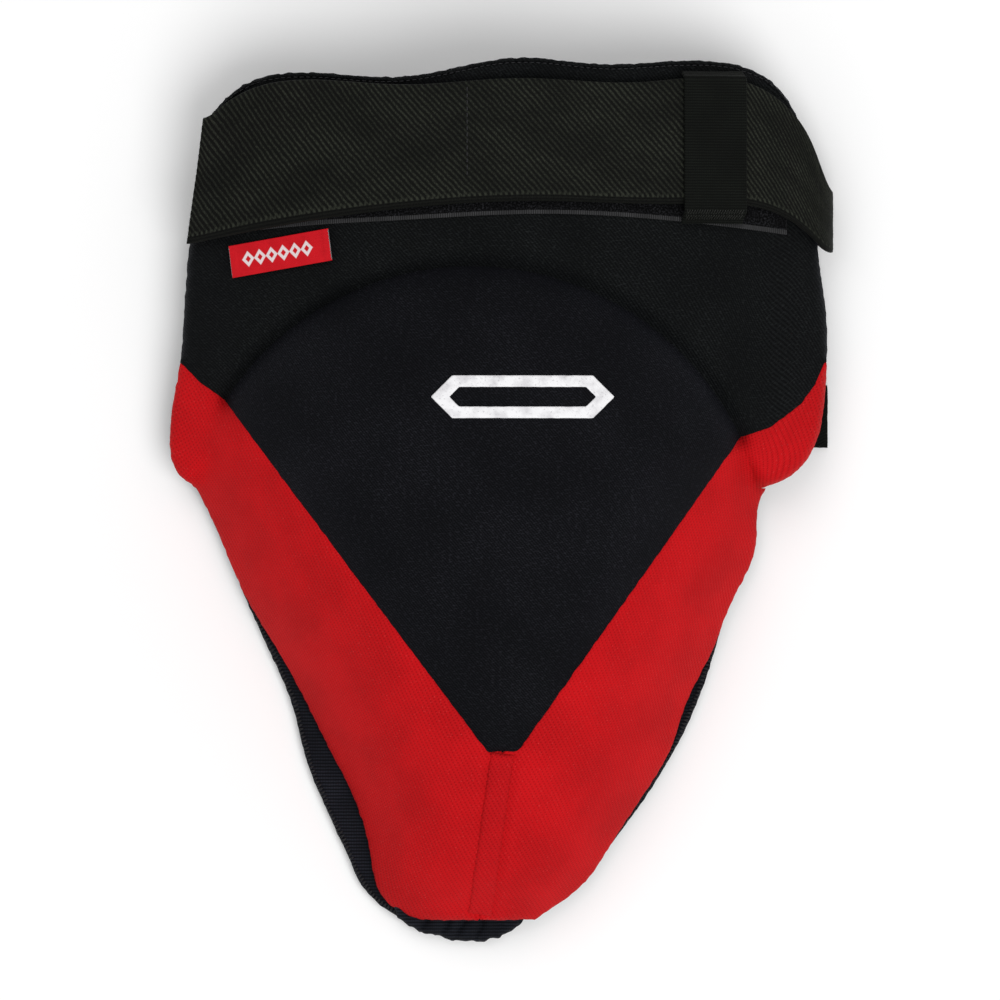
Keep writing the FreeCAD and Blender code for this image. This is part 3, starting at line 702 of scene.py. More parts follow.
def foam_finish(name, dark, light, cell=0.9):
    """Open foam: pores between rounded cells."""
    f = Finish(name, roughness=0.95, specular=0.15, solid=True)
    pores = f.node("ShaderNodeTexVoronoi", feature="DISTANCE_TO_EDGE")
    f.link(f.place, pores.inputs["Vector"])
    pores.inputs["Scale"].default_value = 1 / cell
    height = f.span(pores.outputs["Distance"], 0.0, 0.25)
    patch = f.span(f.noise(20.0, 3.0), 0.3, 0.7, 0.6, 1.0)
    return f.finish(f.mix(f.times(height, patch), dark, light), height, 0.25)


def moulded_finish(name, dark, light):
    """Hard plastic with a fine grain and some scuffs."""
    f = Finish(name, roughness=0.45, specular=0.5, solid=True)
    grain = f.noise(0.6, 3.0)
    scuff = f.span(f.noise(7.0, 6.0, stretch=(3.0, 1.0)), 0.55, 0.7)
    color = f.mix(f.times_plus(scuff, 0.5, f.times(grain, 0.4)), dark, light)
    return f.finish(color, grain, 0.06, f.span(scuff, 0, 1, 0.4, 0.65))


def thread_finish(name, dark, light):
    """Twisted sewing thread."""
    f = Finish(name, roughness=0.6, specular=0.4)
    twist = f.wave(f.plus(f.u, f.times(f.v, 1.5)), 0.35)
    shade = f.times(twist, f.span(f.noise(4.0), 0.3, 0.7, 0.5, 1.0))
    return f.finish(f.mix(shade, dark, light), twist, 0.05)


RIB_PERIOD = 2.5
RIB_LEAN = 0.9
SELVEDGE = 2.6
TOOTH = 2.1
LOOP_SELVEDGE = 1.9
LABEL_LENGTH, LABEL_DROP = 44.0, 13.0

TWILL = twill("twill cloth", (0.0015, 0.0016, 0.0022), (0.0165, 0.0168, 0.0212))
YOKE_TWILL = twill("yoke twill", (0.0015, 0.0017, 0.0019), (0.0145, 0.0162, 0.0165), period=1.5)
RED = birdseye("red knit", (0.23, 0.002, 0.003), (0.53, 0.005, 0.008), (0.66, 0.05, 0.05))
TAPE_RED = birdseye("red tape cloth", (0.2, 0.002, 0.003), (0.5, 0.005, 0.008), (0.62, 0.04, 0.04))
ELASTIC = elastic_finish("elastic weave", (0.0009, 0.001, 0.0008), (0.03, 0.032, 0.025))
BELT = elastic_finish("belt weave", (0.0008, 0.0009, 0.0007), (0.026, 0.029, 0.021), selvedge=True)
WEBBING = knitted("webbing weave", (0.0008, 0.001, 0.0007), (0.006, 0.0075, 0.0055), 1.1, 0.16, 0.7, 0.08)
KNIT = knitted("lining knit", (0.0018, 0.002, 0.003), (0.018, 0.02, 0.028), 1.3, 0.2)
PILE = pile_finish("loop pile", (0.001, 0.001, 0.0012), (0.022, 0.022, 0.025), edge=(0.055, 0.055, 0.057))
HOOKS = pile_finish("hook tape", (0.006, 0.006, 0.006), (0.05, 0.05, 0.052))
PRINT = print_finish("white print")
LABEL = label_finish("label satin", (0.5, 0.004, 0.01), (0.76, 0.66, 0.67), LABEL_LENGTH, LABEL_DROP)
GREY_FOAM = foam_finish("grey foam", (0.03, 0.03, 0.032), (0.12, 0.12, 0.125))
SOFT_FOAM = foam_finish("soft foam", (0.05, 0.05, 0.055), (0.2, 0.2, 0.21), 0.6)
PLASTIC = moulded_finish("moulded cup", (0.02, 0.02, 0.022), (0.06, 0.06, 0.065))
BLACK_THREAD = thread_finish("black thread", (0.004, 0.004, 0.005), (0.05, 0.05, 0.055))
GREY_THREAD = thread_finish("grey thread", (0.09, 0.09, 0.095), (0.34, 0.34, 0.35))
TACK_THREAD = thread_finish("tack thread", (0.012, 0.013, 0.011), (0.07, 0.072, 0.064))


# ---- the covers' surface -------------------------------------------------------------------
COVERS = ["front_panel", "yoke_panel", "trim_left", "trim_right", "wing_left", "wing_right"]
CREASE_DEPTH, CREASE_WIDTH = 4.6, 4.4
CREASE_FOLD, FOLD_WIDTH = 2.4, 1.9       # the sharp fold at the bottom of the crease
SEAM_DEPTH, SEAM_WIDTH = 0.7, 1.8
TAPE_GROOVE = 1.5
SLACK = 0.45                 # height of the cloth's slow waves over the foam

loops = {name: top_loops([name])[0] for name in COVERS}
red_left = joined(loops["trim_left"], loops["wing_left"])
shield, yoke = loops["front_panel"], loops["yoke_panel"]

cover = Relief(COVERS)
grid_x, grid_y = np.meshgrid(cover.x, cover.y)
grid_points = np.stack([grid_x.ravel(), grid_y.ravel()], 1)


def line_gap(line, points):
    """Distance of plan points to an open line."""
    near = np.full(len(points), 1e9)
    for start, end in zip(line[:-1], line[1:]):
        run = end - start
        t = np.clip(((points - start) @ run) / max(float(run @ run), 1e-9), 0, 1)
        near = np.minimum(near, np.linalg.norm(points - (start + t[:, None] * run), axis=1))
    return near


def shared(loop, other, reach=1.2):
    """The stretch of a loop that runs along another one."""
    fine = resample(loop, 1.5, closed=True)
    close = to_outline(fine, other)[0] < reach
    first = int(np.flatnonzero(close & ~np.roll(close, 1))[0])
    close, fine = np.roll(close, -first), np.roll(fine, -first, axis=0)
    count = int(np.argmin(close)) if not close.all() else len(close)
    return fine[:count]


crease = shared(shield, yoke)
seam_left = shared(shield, loops["trim_left"])
seam_right = shared(shield, loops["trim_right"])
wing_crease = shared(loops["wing_right"], loops["trim_right"])


def shape_cover():
    """Sinks the crease and the seams, and lets the cloth wave a little over the foam."""
    shape = cover.z.shape
    to_crease = line_gap(crease, grid_points)
    dip = CREASE_DEPTH * np.exp(-(to_crease / CREASE_WIDTH) ** 2)
    dip += CREASE_FOLD * np.exp(-(to_crease / FOLD_WIDTH) ** 2)
    dip += 1.8 * np.exp(-(line_gap(wing_crease, grid_points) / 2.6) ** 2)
    for seam in (seam_left, seam_right):
        gap = line_gap(seam, grid_points)
        pucker = 0.55 + 0.45 * ripple(grid_points[:, 0], grid_points[:, 1], 5.0, 3.0)
        dip += SEAM_DEPTH * np.exp(-(gap / SEAM_WIDTH) ** 2)
        dip += 0.35 * pucker * np.exp(-(gap / 6.0) ** 2)
    dip += TAPE_GROOVE * np.exp(-(to_outline(grid_points, top_loops(["seam_tape"])[0])[0] / 1.2) ** 2)
    wave = SLACK * ripple(grid_points[:, 0], grid_points[:, 1], 26.0, 8.0)
    wave += 0.18 * ripple(grid_points[:, 0], grid_points[:, 1], 9.0, 2.0)
    cover.z += (wave - dip).reshape(shape)


shape_cover()


def outer_rim(panel, others, reach=1.6):
    """1 where a panel's nearest rim is free, 0 where another cover joins it."""
    gap = np.min([to_outline(panel.rim_point, other)[0] for other in others], axis=0)
    return smoothstep(reach - 0.4, reach + 1.2, gap)


COVER_THICK = 1.5
COVER_ROOM = 2.3             # least height left under a cover's turned edge
SEAM_ROLL, SEAM_DROP = 1.2, 0.75
EDGE_ROLL = 3.2
WING_EDGE, DOME_EDGE = 8.5, 4.2


def cover_panel(name, outline, others, edge_drop, material, slot_name, *nodes, fill=0.6):
    """One cut of the cover: sewn down at its seams, turned under at its free edge."""
    panel = Panel([outline], cover, spread=0.35)
    free = outer_rim(panel, others)
    roll = SEAM_ROLL + (EDGE_ROLL - SEAM_ROLL) * free
    drop = SEAM_DROP + (edge_drop - SEAM_DROP) * free
    room = cover(*panel.plan.T) - COVER_ROOM
    piece = panel.build(name, COVER_THICK, roll, np.minimum(drop, np.maximum(room, 0.3)))
    finish_piece(piece, "guard", material, slot_name, *nodes)
    return piece


def build_covers():
    """The outer cloth: shield, yoke and three red pieces."""
    trims = [loops["trim_left"], loops["trim_right"], loops["wing_left"], loops["wing_right"]]
    cover_panel("shield_cover", shield, [yoke] + trims, 2.0, TWILL, "black_twill", "front_panel", fill=0.75)
    cover_panel("yoke_cover", yoke, [shield, top_loops(["top_binding"])[0]] + trims, WING_EDGE, YOKE_TWILL,
                "black_twill", "yoke_panel")
    cover_panel("red_left", red_left, [shield, yoke, loops["trim_right"]], DOME_EDGE, RED, "red_mesh",
                "trim_left", "wing_left")
    cover_panel("red_right", loops["trim_right"], [shield, yoke, loops["trim_left"], loops["wing_right"]],
                DOME_EDGE, RED, "red_mesh", "trim_right")
    cover_panel("red_wing", loops["wing_right"], [shield, yoke, loops["trim_right"]], WING_EDGE, RED,
                "red_mesh", "wing_right")


build_covers()


def build_print():
    """White hexagonal ring printed on the shield."""
    outline = top_loops(["print_badge"])
    panel = Panel(outline[:2], cover, pitch=1.1, step=0.8, fray=0.05)
    piece = panel.build("badge_print", 0.5, 0.5, 0.25, lift=0.32)
    finish_piece(piece, "guard", PRINT, "white_print", "print_badge")


def build_tape():
    """Tape over the seam between the two lower red covers."""
    panel = Panel(top_loops(["seam_tape"])[:1], cover, pitch=1.3, step=1.0, fray=0.15)
    to_edge = smoothstep(0.0, 2.2, panel.depth)
    piece = panel.build("seam_tape_cloth", 1.0, 0.9, 0.9, lift=0.95 - 0.5 * to_edge)
    finish_piece(piece, "guard", TAPE_RED, "red_tape", "seam_tape")


build_print()
build_tape()


# ---- foam, cup and linings -----------------------------------------------------------------
FOAM_BELOW = 2.8             # how far the foam's top lies under the covers' top
FOAM_THICK = 4.6


def build_foams():
    """Foam under the covers: a pad over the cup and one across the hips."""
    for name, node, slot_name in (("dome_pad", "impact_foam", "impact_foam"),
                                  ("yoke_pad", "yoke_foam", "soft_foam")):
        low, _ = node_box(node)
        panel = Panel(top_loops([node])[:1], cover, pitch=3.2, step=3.0, fray=0.0)
        room = np.maximum(cover(*panel.plan.T) - FOAM_BELOW - low[2] - 0.2, 0.4)
        piece = panel.build(name, 0.4, 2.5, np.minimum(2.4, room * 0.7), lift=-FOAM_BELOW,
                            under=lambda p, r=room: np.minimum(FOAM_THICK, r))
        finish_piece(piece, "guard", GREY_FOAM, slot_name, node)


def build_linings():
    """Cloth inside the yoke, and the padded lining inside the cup."""
    for name, node, thick, extra in (("yoke_lining_cloth", "yoke_lining", 1.0, ()),
                                     ("cup_lining_pad", "cup_lining", 3.6, ("cup_liner",))):
        under = Relief([node], above=False, blur=1.2)
        outline = top_loops([node])
        panel = Panel(outline[:1], under, pitch=2.0, step=1.6, fray=0.1)
        piece = panel.build(name, thick, 1.2, 0.5, lift=thick + 0.1)
        finish_piece(piece, "guard", KNIT, "lining_knit", node, *extra)


build_foams()
build_linings()


# ---- belt ----------------------------------------------------------------------------------
BELT_THICK = 1.8
FOLD_RADIUS = 13.5
RIB_HEIGHT = 0.3

back_low, back_high = node_box("belt_back")
FOLD_MIDDLE = np.array([back_high[0] - FOLD_RADIUS - BELT_THICK / 2, FOLD_RADIUS + BELT_THICK / 2])
HIP_RADIUS = math.hypot(FOLD_MIDDLE[0], FOLD_MIDDLE[1] - HIP_AXIS_Z) + FOLD_RADIUS
FOLD_ANGLE = math.atan2(FOLD_MIDDLE[0], FOLD_MIDDLE[1] - HIP_AXIS_Z)
FOLD_START = HIP_RADIUS * FOLD_ANGLE
FOLD_END = FOLD_START + FOLD_RADIUS * (math.pi - FOLD_ANGLE)
YOKE_RADIUS = HIP_RADIUS - 4.3
KEEPER_LOW, KEEPER_HIGH = node_box("belt_keeper")


def hip_angle(x, radius):
    return np.arcsin(np.clip(np.asarray(x) / radius, -1, 1))


def on_hip(radius, angle, y):
    return np.stack([radius * np.sin(angle), y, HIP_AXIS_Z + radius * np.cos(angle)], -1)


def belt_middle(s):
    """x and z of the belt's middle layer, s mm along it from the middle of the waist."""
    s = np.asarray(s, float)
    front = s / HIP_RADIUS
    turn = FOLD_ANGLE + (np.clip(s, FOLD_START, FOLD_END) - FOLD_START) / FOLD_RADIUS
    x = np.where(s < FOLD_START, HIP_RADIUS * np.sin(front), FOLD_MIDDLE[0] + FOLD_RADIUS * np.sin(turn))
    z = np.where(s < FOLD_START, HIP_AXIS_Z + HIP_RADIUS * np.cos(front),
                 FOLD_MIDDLE[1] + FOLD_RADIUS * np.cos(turn))
    past = np.maximum(s - FOLD_END, 0)
    return x - past, z


def heights_at(loop, x):
    """Lowest and highest y of a plan outline at each x."""
    start, end = loop, np.roll(loop, -1, axis=0)
    run = np.where(np.abs(end[:, 0] - start[:, 0]) < 1e-9, 1e-9, end[:, 0] - start[:, 0])
    t = (np.asarray(x)[:, None] - start[:, 0]) / run
    y = start[:, 1] + t * (end[:, 1] - start[:, 1])
    hit = (t >= 0) & (t <= 1)
    low = np.where(hit, y, np.inf).min(1)
    high = np.where(hit, y, -np.inf).max(1)
    known = np.isfinite(low) & np.isfinite(high)
    return np.interp(x, x[known], low[known]), np.interp(x, x[known], high[known])


TAB_LOW_X = node_box("belt_tab")[0][0] + 1.5
TAB_HIGH_X = TAB_LOW_X + 8.0
TAB_SLANT = 8.0
TAB_START = HIP_RADIUS * float(hip_angle(TAB_LOW_X - 0.8, HIP_RADIUS))
TAB_SLANT_FROM = TAB_START + 40.0
belt_x = np.linspace(-125.0, 133.0, 259)
belt_loops = [top_loops([name])[0] for name in ("belt_tab", "belt_front", "belt_back")]
spans = [heights_at(loop, belt_x) for loop in belt_loops]
tab_end_x, front_end_x = (loop[:, 0].max() for loop in belt_loops[:2])


def belt_edges():
    """Bottom and top of the belt's front over belt_x, from the three CAD pieces."""
    low, high = spans[1][0].copy(), spans[1][1].copy()
    left = belt_x < tab_end_x
    low[left], high[left] = spans[0][0][left], spans[0][1][left]
    low[belt_x < TAB_LOW_X] = np.interp(TAB_LOW_X, belt_x, low)
    high[belt_x < TAB_HIGH_X] = np.interp(TAB_HIGH_X, belt_x, high)
    right = belt_x > front_end_x - 1
    low[right], high[right] = spans[2][0][right], spans[2][1][right]
    weights = np.exp(-0.5 * (np.arange(-6, 7) / 2.5) ** 2)
    weights /= weights.sum()
    return [np.convolve(np.pad(edge, 6, mode="edge"), weights, mode="valid") for edge in (low, high)]


front_low, front_high = belt_edges()
RUN_LOW, RUN_HIGH = back_low[1], node_box("belt_anchor")[1][1] + 2.0


def belt_y(s, part):
    """y at a share (0 bottom to 1 top) of the belt's width, with the fold passing to the back run."""
    x, _ = belt_middle(s)
    behind = smoothstep(FOLD_END - 6, FOLD_END + 30, s)
    low = np.interp(x, belt_x, front_low) * (1 - behind) + RUN_LOW * behind
    high = np.interp(x, belt_x, front_high) * (1 - behind) + RUN_HIGH * behind
    return low + (high - low) * part


def slanted(s, part):
    """Draws the belt's free end in towards its upper corner, because that end is cut at a slant."""
    full = TAB_START - TAB_SLANT_FROM
    reach = full + TAB_SLANT * part
    return np.where(s < TAB_SLANT_FROM, TAB_SLANT_FROM + (s - TAB_SLANT_FROM) * reach / full, s)


def belt_weave(width):
    def place(u, v):
        s = slanted(u, v / width)
        x, z = belt_middle(s)
        wave = 0.35 * ripple(u, v, 30.0, 4.0) * smoothstep(0, 8, v) * smoothstep(0, 8, width - v)
        limp = np.where(s < FOLD_START, wave, 0)
        angle = np.clip(s / HIP_RADIUS, -1, 1)
        return np.stack([x + limp * np.sin(angle), belt_y(s, v / width), z + limp * np.cos(angle)], -1)
    return place


def rib_relief(width):
    """Diagonal ribs, blurred here and there, with a corded selvedge and its row of teeth."""
    def relief(u, v):
        wander = 0.5 * ripple(u, v, 7.0, 6.0)
        rib = 0.5 + 0.5 * np.sin(2 * math.pi * (u + RIB_LEAN * v + wander) / RIB_PERIOD)
        yarn = 0.5 + 0.5 * np.sin(2 * math.pi * v / 1.1 + 1.2 * np.sin(u))
        worn = np.clip(0.5 + 0.5 * ripple(u, v, 4.0, 9.0), 0, 1) * smoothstep(-40, 60, u)
        body = RIB_HEIGHT * (rib ** 0.7) * (1 - 0.45 * worn) + 0.07 * yarn
        cord = 0.14 + 0.1 * np.cos(2 * math.pi * (v - SELVEDGE / 4) / (SELVEDGE / 2))
        tooth = 0.3 * np.clip(np.sin(2 * math.pi * u / TOOTH), 0, 1)
        band = smoothstep(SELVEDGE - 0.3, SELVEDGE + 0.2, v)
        teeth = band * (1 - smoothstep(SELVEDGE + 1.2, SELVEDGE + 1.9, v))
        top_band = smoothstep(width - 1.8, width - 1.2, v)
        height = cord * (1 - band) + band * (tooth * teeth + body * (1 - teeth))
        return height * (1 - top_band) + 0.15 * top_band
    return relief


BELT_NOMINAL = 49.0
BELT_JOIN = HIP_RADIUS * float(hip_angle(KEEPER_HIGH[0] - 6.0, HIP_RADIUS))
FOLD_HALF = (FOLD_START + FOLD_END) / 2


def belt_piece(name, start, end, step):
    us = start + rim_spacing(end - start, step, BELT_THICK)
    vs = rim_spacing(BELT_NOMINAL, step, BELT_THICK)
    return slab(name, belt_weave(BELT_NOMINAL), us, vs, BELT_THICK - RIB_HEIGHT, rib_relief(BELT_NOMINAL))


def build_belt():
    """One strip in three pieces: the front with its free end, the turn round the hip, the back."""
    strap = belt_piece("belt_strap", TAB_START, BELT_JOIN, 0.62)
    strap.data.materials.append(BELT)
    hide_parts("belt_tab", "belt_front")
    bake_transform(strap)
    turn = belt_piece("belt_turn", BELT_JOIN + 0.05, FOLD_HALF, 0.62)
    turn.data.materials.append(BELT)
    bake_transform(turn)
    back = belt_piece("belt_back_run", FOLD_HALF + 0.05, FOLD_END + FOLD_MIDDLE[0] - back_low[0] - 0.6, 0.95)
    finish_piece(back, "guard", BELT, "elastic", "belt_back")


build_belt()


def build_belt_anchor():
    """The belt's sewn end: its last stretch folded back up against the pad."""
    low, high = node_box("belt_anchor")
    path = curve_through([(high[0], 0, low[2] + 0.9), (low[0] + 5, 0, low[2] + 0.9),
                          (low[0] + 1.4, 0, low[2] + 3.4), (low[0] + 1.6, 0, high[2] - 5.5),
                          (low[0] + 6, 0, high[2] - 2.2), (high[0] - 1, 0, high[2] - 1.0)], 0.6)
    length = np.concatenate([[0], np.cumsum(np.linalg.norm(np.diff(path, axis=0), axis=1))])

    def place(u, v):
        return np.stack([np.interp(u, length, path[:, 0]), low[1] + v, np.interp(u, length, path[:, 2])], -1)

    wide = high[1] - low[1]
    piece = slab("belt_anchor_fold", place, rim_spacing(length[-1], 0.7, 1.7), rim_spacing(wide, 0.7, 1.7),
                 1.6, rib_relief(wide))
    finish_piece(piece, "guard", ELASTIC, "elastic", "belt_anchor")


build_belt_anchor()


# ---- keeper, hook and loop, label ----------------------------------------------------------
KEEPER_THICK = 1.5
KEEPER_OVER = HIP_RADIUS + BELT_THICK / 2 + 1.35
KEEPER_FOOT = YOKE_RADIUS + 2.9
TACK_ROWS = (2.6, 4.6)       # heights of the zigzag rows above the keeper's foot
TACK_HEIGHT, TACK_INSET, TACK_POINTS = 0.9, 1.2, 45
keeper_width = KEEPER_HIGH[0] - KEEPER_LOW[0]
keeper_drop = KEEPER_HIGH[1] - KEEPER_LOW[1]


def keeper_place(u, v):
    x = KEEPER_LOW[0] + u
    angle = hip_angle(x, KEEPER_OVER)
    over = smoothstep(0.5, 5.5, v) * smoothstep(0.2, 3.4, keeper_drop - v)
    radius = KEEPER_FOOT + (KEEPER_OVER - KEEPER_FOOT) * over
    radius = radius + 0.25 * ripple(u, v, 14.0, 3.0) * over
    return on_hip(radius, angle, KEEPER_LOW[1] + v)


def keeper_relief(u, v):
    rib = 0.5 + 0.5 * np.sin(2 * math.pi * v / 1.0 + 0.5 * np.sin(u / 3))
    wale = 0.5 + 0.5 * np.sin(2 * math.pi * u / 1.6)
    serrated = np.clip(np.sin(2 * math.pi * u / 1.9), 0, 1) * (1 - smoothstep(0.6, 1.8, v))
    return 0.16 * rib * (0.6 + 0.4 * wale) + 0.3 * serrated


def build_keeper():
    """Webbing loop over the belt, with two zigzag rows of thread at its foot."""
    piece = slab("belt_keeper_loop", keeper_place, rim_spacing(keeper_width, 0.45, KEEPER_THICK),
                 rim_spacing(keeper_drop, 0.4, KEEPER_THICK), KEEPER_THICK - 0.3, keeper_relief)
    finish_piece(piece, "guard", WEBBING, "webbing", "belt_keeper")
    tack = []
    for foot in TACK_ROWS:
        u = np.linspace(TACK_INSET, keeper_width - TACK_INSET, TACK_POINTS)
        v = foot + TACK_HEIGHT * np.where(np.arange(TACK_POINTS) % 2 == 0, 1.0, -1.0)
        path = keeper_place(u, v)
        path[:, 2] += KEEPER_THICK / 2 + 0.32
        tack.append(path)
    finish_piece(tubes("keeper_bar_tack", tack, 0.2), "guard", TACK_THREAD, "webbing")


build_keeper()


def pile_relief(width):
    def relief(u, v):
        tuft = np.abs(ripple(u, v, 1.5, 2.0)) * 0.5 + 0.25 * ripple(u, v, 4.0, 7.0)
        edge = smoothstep(LOOP_SELVEDGE - 0.2, LOOP_SELVEDGE + 0.5, v) * smoothstep(0.8, 1.6, width - v)
        hatch = 0.12 * (0.5 + 0.5 * np.sin(2 * math.pi * u / 0.9)) * (1 - edge)
        return 0.08 + hatch + np.clip(tuft, -0.1, 0.6) * edge
    return relief


def build_loop_strip():
    """Pile strip that the hook tape holds to, on the pad below and under the belt."""
    low, high = node_box("loop_strip")
    outline = top_loops(["loop_strip"])[0]
    x = np.linspace(low[0], high[0], 200)
    bottom, top = heights_at(outline, x)
    radius = YOKE_RADIUS + 0.75
    start, end = hip_angle(low[0] + 0.4, radius) * radius, hip_angle(high[0] - 0.4, radius) * radius
    width = 42.0

    def place(u, v):
        angle = u / radius
        at = radius * np.sin(angle)
        y0, y1 = np.interp(at, x, bottom), np.interp(at, x, top)
        y = y0 + (y1 - y0) * v / width
        return on_hip(radius, angle, y)

    piece = slab("loop_strip_pile", place, start + rim_spacing(end - start, 0.7, 1.3),
                 rim_spacing(width, 0.62, 1.3), 0.95, pile_relief(width))
    finish_piece(piece, "guard", PILE, "loop_pile", "loop_strip")


def build_hook_patch():
    """Hook tape under the belt's free end."""
    low, high = node_box("hook_patch")
    radius = HIP_RADIUS - BELT_THICK / 2 - 0.75
    start, end = hip_angle(low[0], radius) * radius, hip_angle(high[0], radius) * radius

    def place(u, v):
        return on_hip(radius, -u / radius, low[1] + v)

    def hooks(u, v):
        grid = np.clip(np.sin(2 * math.pi * u / 1.8), 0, 1) * np.clip(np.sin(2 * math.pi * v / 1.6), 0, 1)
        return 0.25 * grid

    wide = high[1] - low[1]
    piece = slab("hook_patch_tape", place, -end + rim_spacing(end - start, 0.6, 1.0),
                 rim_spacing(wide, 0.6, 1.0), 0.7, hooks)
    finish_piece(piece, "belt_end", HOOKS, "hook_tape", "hook_patch")


build_loop_strip()
build_hook_patch()


def build_stitch_line():
    """The row that sews the hook tape under the belt, seen as a dark line across it."""
    hinge_x = joint_at["belt_peel"][0]
    s = HIP_RADIUS * float(hip_angle(hinge_x, HIP_RADIUS))
    place = belt_weave(BELT_NOMINAL)
    paths = []
    for v in np.arange(11.0, BELT_NOMINAL - 2.0, 2.6):
        path = place(np.full(5, s), np.linspace(v, v + 1.9, 5))
        path[:, 2] += BELT_THICK / 2 + 0.12 + 0.1 * np.sin(np.linspace(0, math.pi, 5))
        paths.append(path)
    stitches = tubes("belt_stitch_line", paths, 0.24)
    stitches.data.materials.append(BLACK_THREAD)
    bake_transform(stitches)


build_stitch_line()


def label_frame():
    """Corner, direction along, direction down and outward normal of the label."""
    joint = next(j for j in frame["joints"] if j["name"] == "label_flip")
    along = -np.array(joint["axis"], float)
    middle = np.array(joint["pos_m"]) / MM
    radial = unit(np.array([middle[0], 0, middle[2] - HIP_AXIS_Z]))
    down = unit(np.cross(along, radial))
    down = down if down[1] < 0 else -down
    normal = unit(np.cross(down, along))
    normal = normal if normal[2] > 0 else -normal
    return middle - along * LABEL_LENGTH / 2, along, down, normal


def build_label():
    """Folded satin label that hangs from its upper edge."""
    corner, along, down, normal = label_frame()

    def place(u, v):
        curl = 0.5 * smoothstep(0, LABEL_DROP, LABEL_DROP - v) + 0.25 * ripple(u, v, 12.0, 5.0)
        body = (corner + along * u[..., None] + down * (LABEL_DROP - v)[..., None])
        return body + normal * (0.55 + curl)[..., None]

    def folded_ends(u, v):
        turn = np.minimum(u, LABEL_LENGTH - u)
        return 0.3 * (1 - smoothstep(2.6, 3.1, turn)) + 0.04 * np.sin(2 * math.pi * v / 0.7)

    piece = slab("label_cloth", place, rim_spacing(LABEL_LENGTH, 0.5, 0.8), rim_spacing(LABEL_DROP, 0.5, 0.8),
                 0.55, folded_ends)
    finish_piece(piece, "label", LABEL, "label_satin", "side_label")
    edges = []
    for u in (0.1, LABEL_LENGTH - 0.1):
        v = np.linspace(0.3, LABEL_DROP - 0.3, 24)
        path = place(np.full(24, u), v)
        edges.append(path + normal * (0.25 + 0.12 * np.sin(v * 5.0))[:, None])
    finish_piece(tubes("label_folds", edges, 0.26), "label", GREY_THREAD, "label_satin")


build_label()


# ---- edges, straps, gusset -----------------------------------------------------------------
def flat_panel(name, node, body, material, slot_name, thick=1.7, roll=0.9, pitch=2.4, turned=0.0):
    """A strap or sheet that lies flat, from its CAD outline."""
    low, high = node_box(node)
    panel = Panel(top_loops([node])[:1], Level(high[2]), pitch=pitch, step=1.4, fray=0.12)
    ca, sa = math.cos(turned), math.sin(turned)

    def weave(x, y):
        return np.stack([x * ca + y * sa, y * ca - x * sa], -1)

    x, y = panel.plan.T
    lift = 0.12 * ripple(x, y, 6.0, 4.0) - 0.12
    piece = panel.build(name, thick, roll, thick * 0.45, lift=lift, weave=weave,
                        under=lambda p: np.maximum(high[2] + lift - low[2], 0.3))
    return finish_piece(piece, body, material, slot_name, node)


def build_straps():
    for side, lean in (("left", -0.46), ("right", 0.46)):
        flat_panel(f"leg_strap_{side}", f"leg_loop_{side}", f"{side}_leg", ELASTIC, "elastic", turned=lean)
        flat_panel(f"wing_tab_{side}", f"wing_anchor_{side}", "guard", WEBBING, "webbing", turned=lean)
        flat_panel(f"crotch_tab_{side}", f"crotch_anchor_{side}", "guard", WEBBING, "webbing", turned=lean)


build_straps()


def build_rim_cloth():
    """Serged cloth edge beside the red covers, with its overlock threads."""
    outline = top_loops(["rim_cloth"])[0]
    _, high = node_box("rim_cloth")
    panel = Panel([outline], Level(high[2]), pitch=2.2, step=1.2, fray=0.2)
    x, y = panel.plan.T
    lift = 0.25 * ripple(x, y, 7.0, 4.0) - 0.2
    piece = panel.build("rim_edge_cloth", 1.3, 1.0, 0.5, lift=lift)
    finish_piece(piece, "guard", KNIT, "lining_knit", "rim_cloth")
    outer = resample(outline, 0.4, closed=True)
    before, after = np.roll(outer, 1, axis=0), np.roll(outer, -1, axis=0)
    run = unit(after - before)
    inward = np.stack([-run[:, 1], run[:, 0]], 1)
    paths = []
    for k in range(0, len(outer) - 4, 4):
        depth = 2.2 + 0.25 * math.sin(k * 1.7)
        a, b, c = outer[k], outer[k] + inward[k] * depth, outer[k + 2]
        top = high[2] + 0.15
        paths.append(curve_through([(*a, top - 1.0), (*(a * 0.6 + b * 0.4), top + 0.12), (*b, top - 0.1),
                                    (*(b * 0.5 + c * 0.5), top + 0.1), (*c, top - 0.9)], 0.5))
    finish_piece(tubes("rim_overlock", paths, 0.17, sides=4), "guard", BLACK_THREAD, "lining_knit")


def build_rim_cushion():
    """Soft rim under the hard cup."""
    low, high = node_box("rim_cushion")
    panel = Panel(top_loops(["rim_cushion"])[:1], Level(high[2]), pitch=2.2, step=1.6, fray=0.0)
    piece = panel.build("rim_pad", 1.0, 3.6, 2.2, lift=-0.1,
                        under=lambda p: np.full(len(p.plan), high[2] - low[2] - 0.2))
    finish_piece(piece, "guard", SOFT_FOAM, "soft_foam", "rim_cushion")


def build_binding():
    """The pad's cloth edge that shows above the belt."""
    node = "top_binding"
    surface = Relief([node], blur=1.2)
    outline = top_loops([node])[0]
    panel = Panel([outline], surface, pitch=1.8, step=1.0, fray=0.3)
    x, y = panel.plan.T
    pucker = 0.3 * ripple(x, y, 3.2, 2.0) + 0.35 * ripple(x, y, 11.0, 5.0)
    under = Relief([node], above=False, blur=1.2)
    depth = np.maximum(surface(x, y) + pucker - under(x, y), 1.0)
    free = outer_rim(panel, [yoke])
    piece = panel.build("top_edge_cloth", 1.2, 0.8 + 2.6 * free, 0.3 + np.minimum(4.2, depth * 0.5) * free,
                        lift=pucker, under=lambda p: depth)
    finish_piece(piece, "guard", YOKE_TWILL, "black_twill", node)


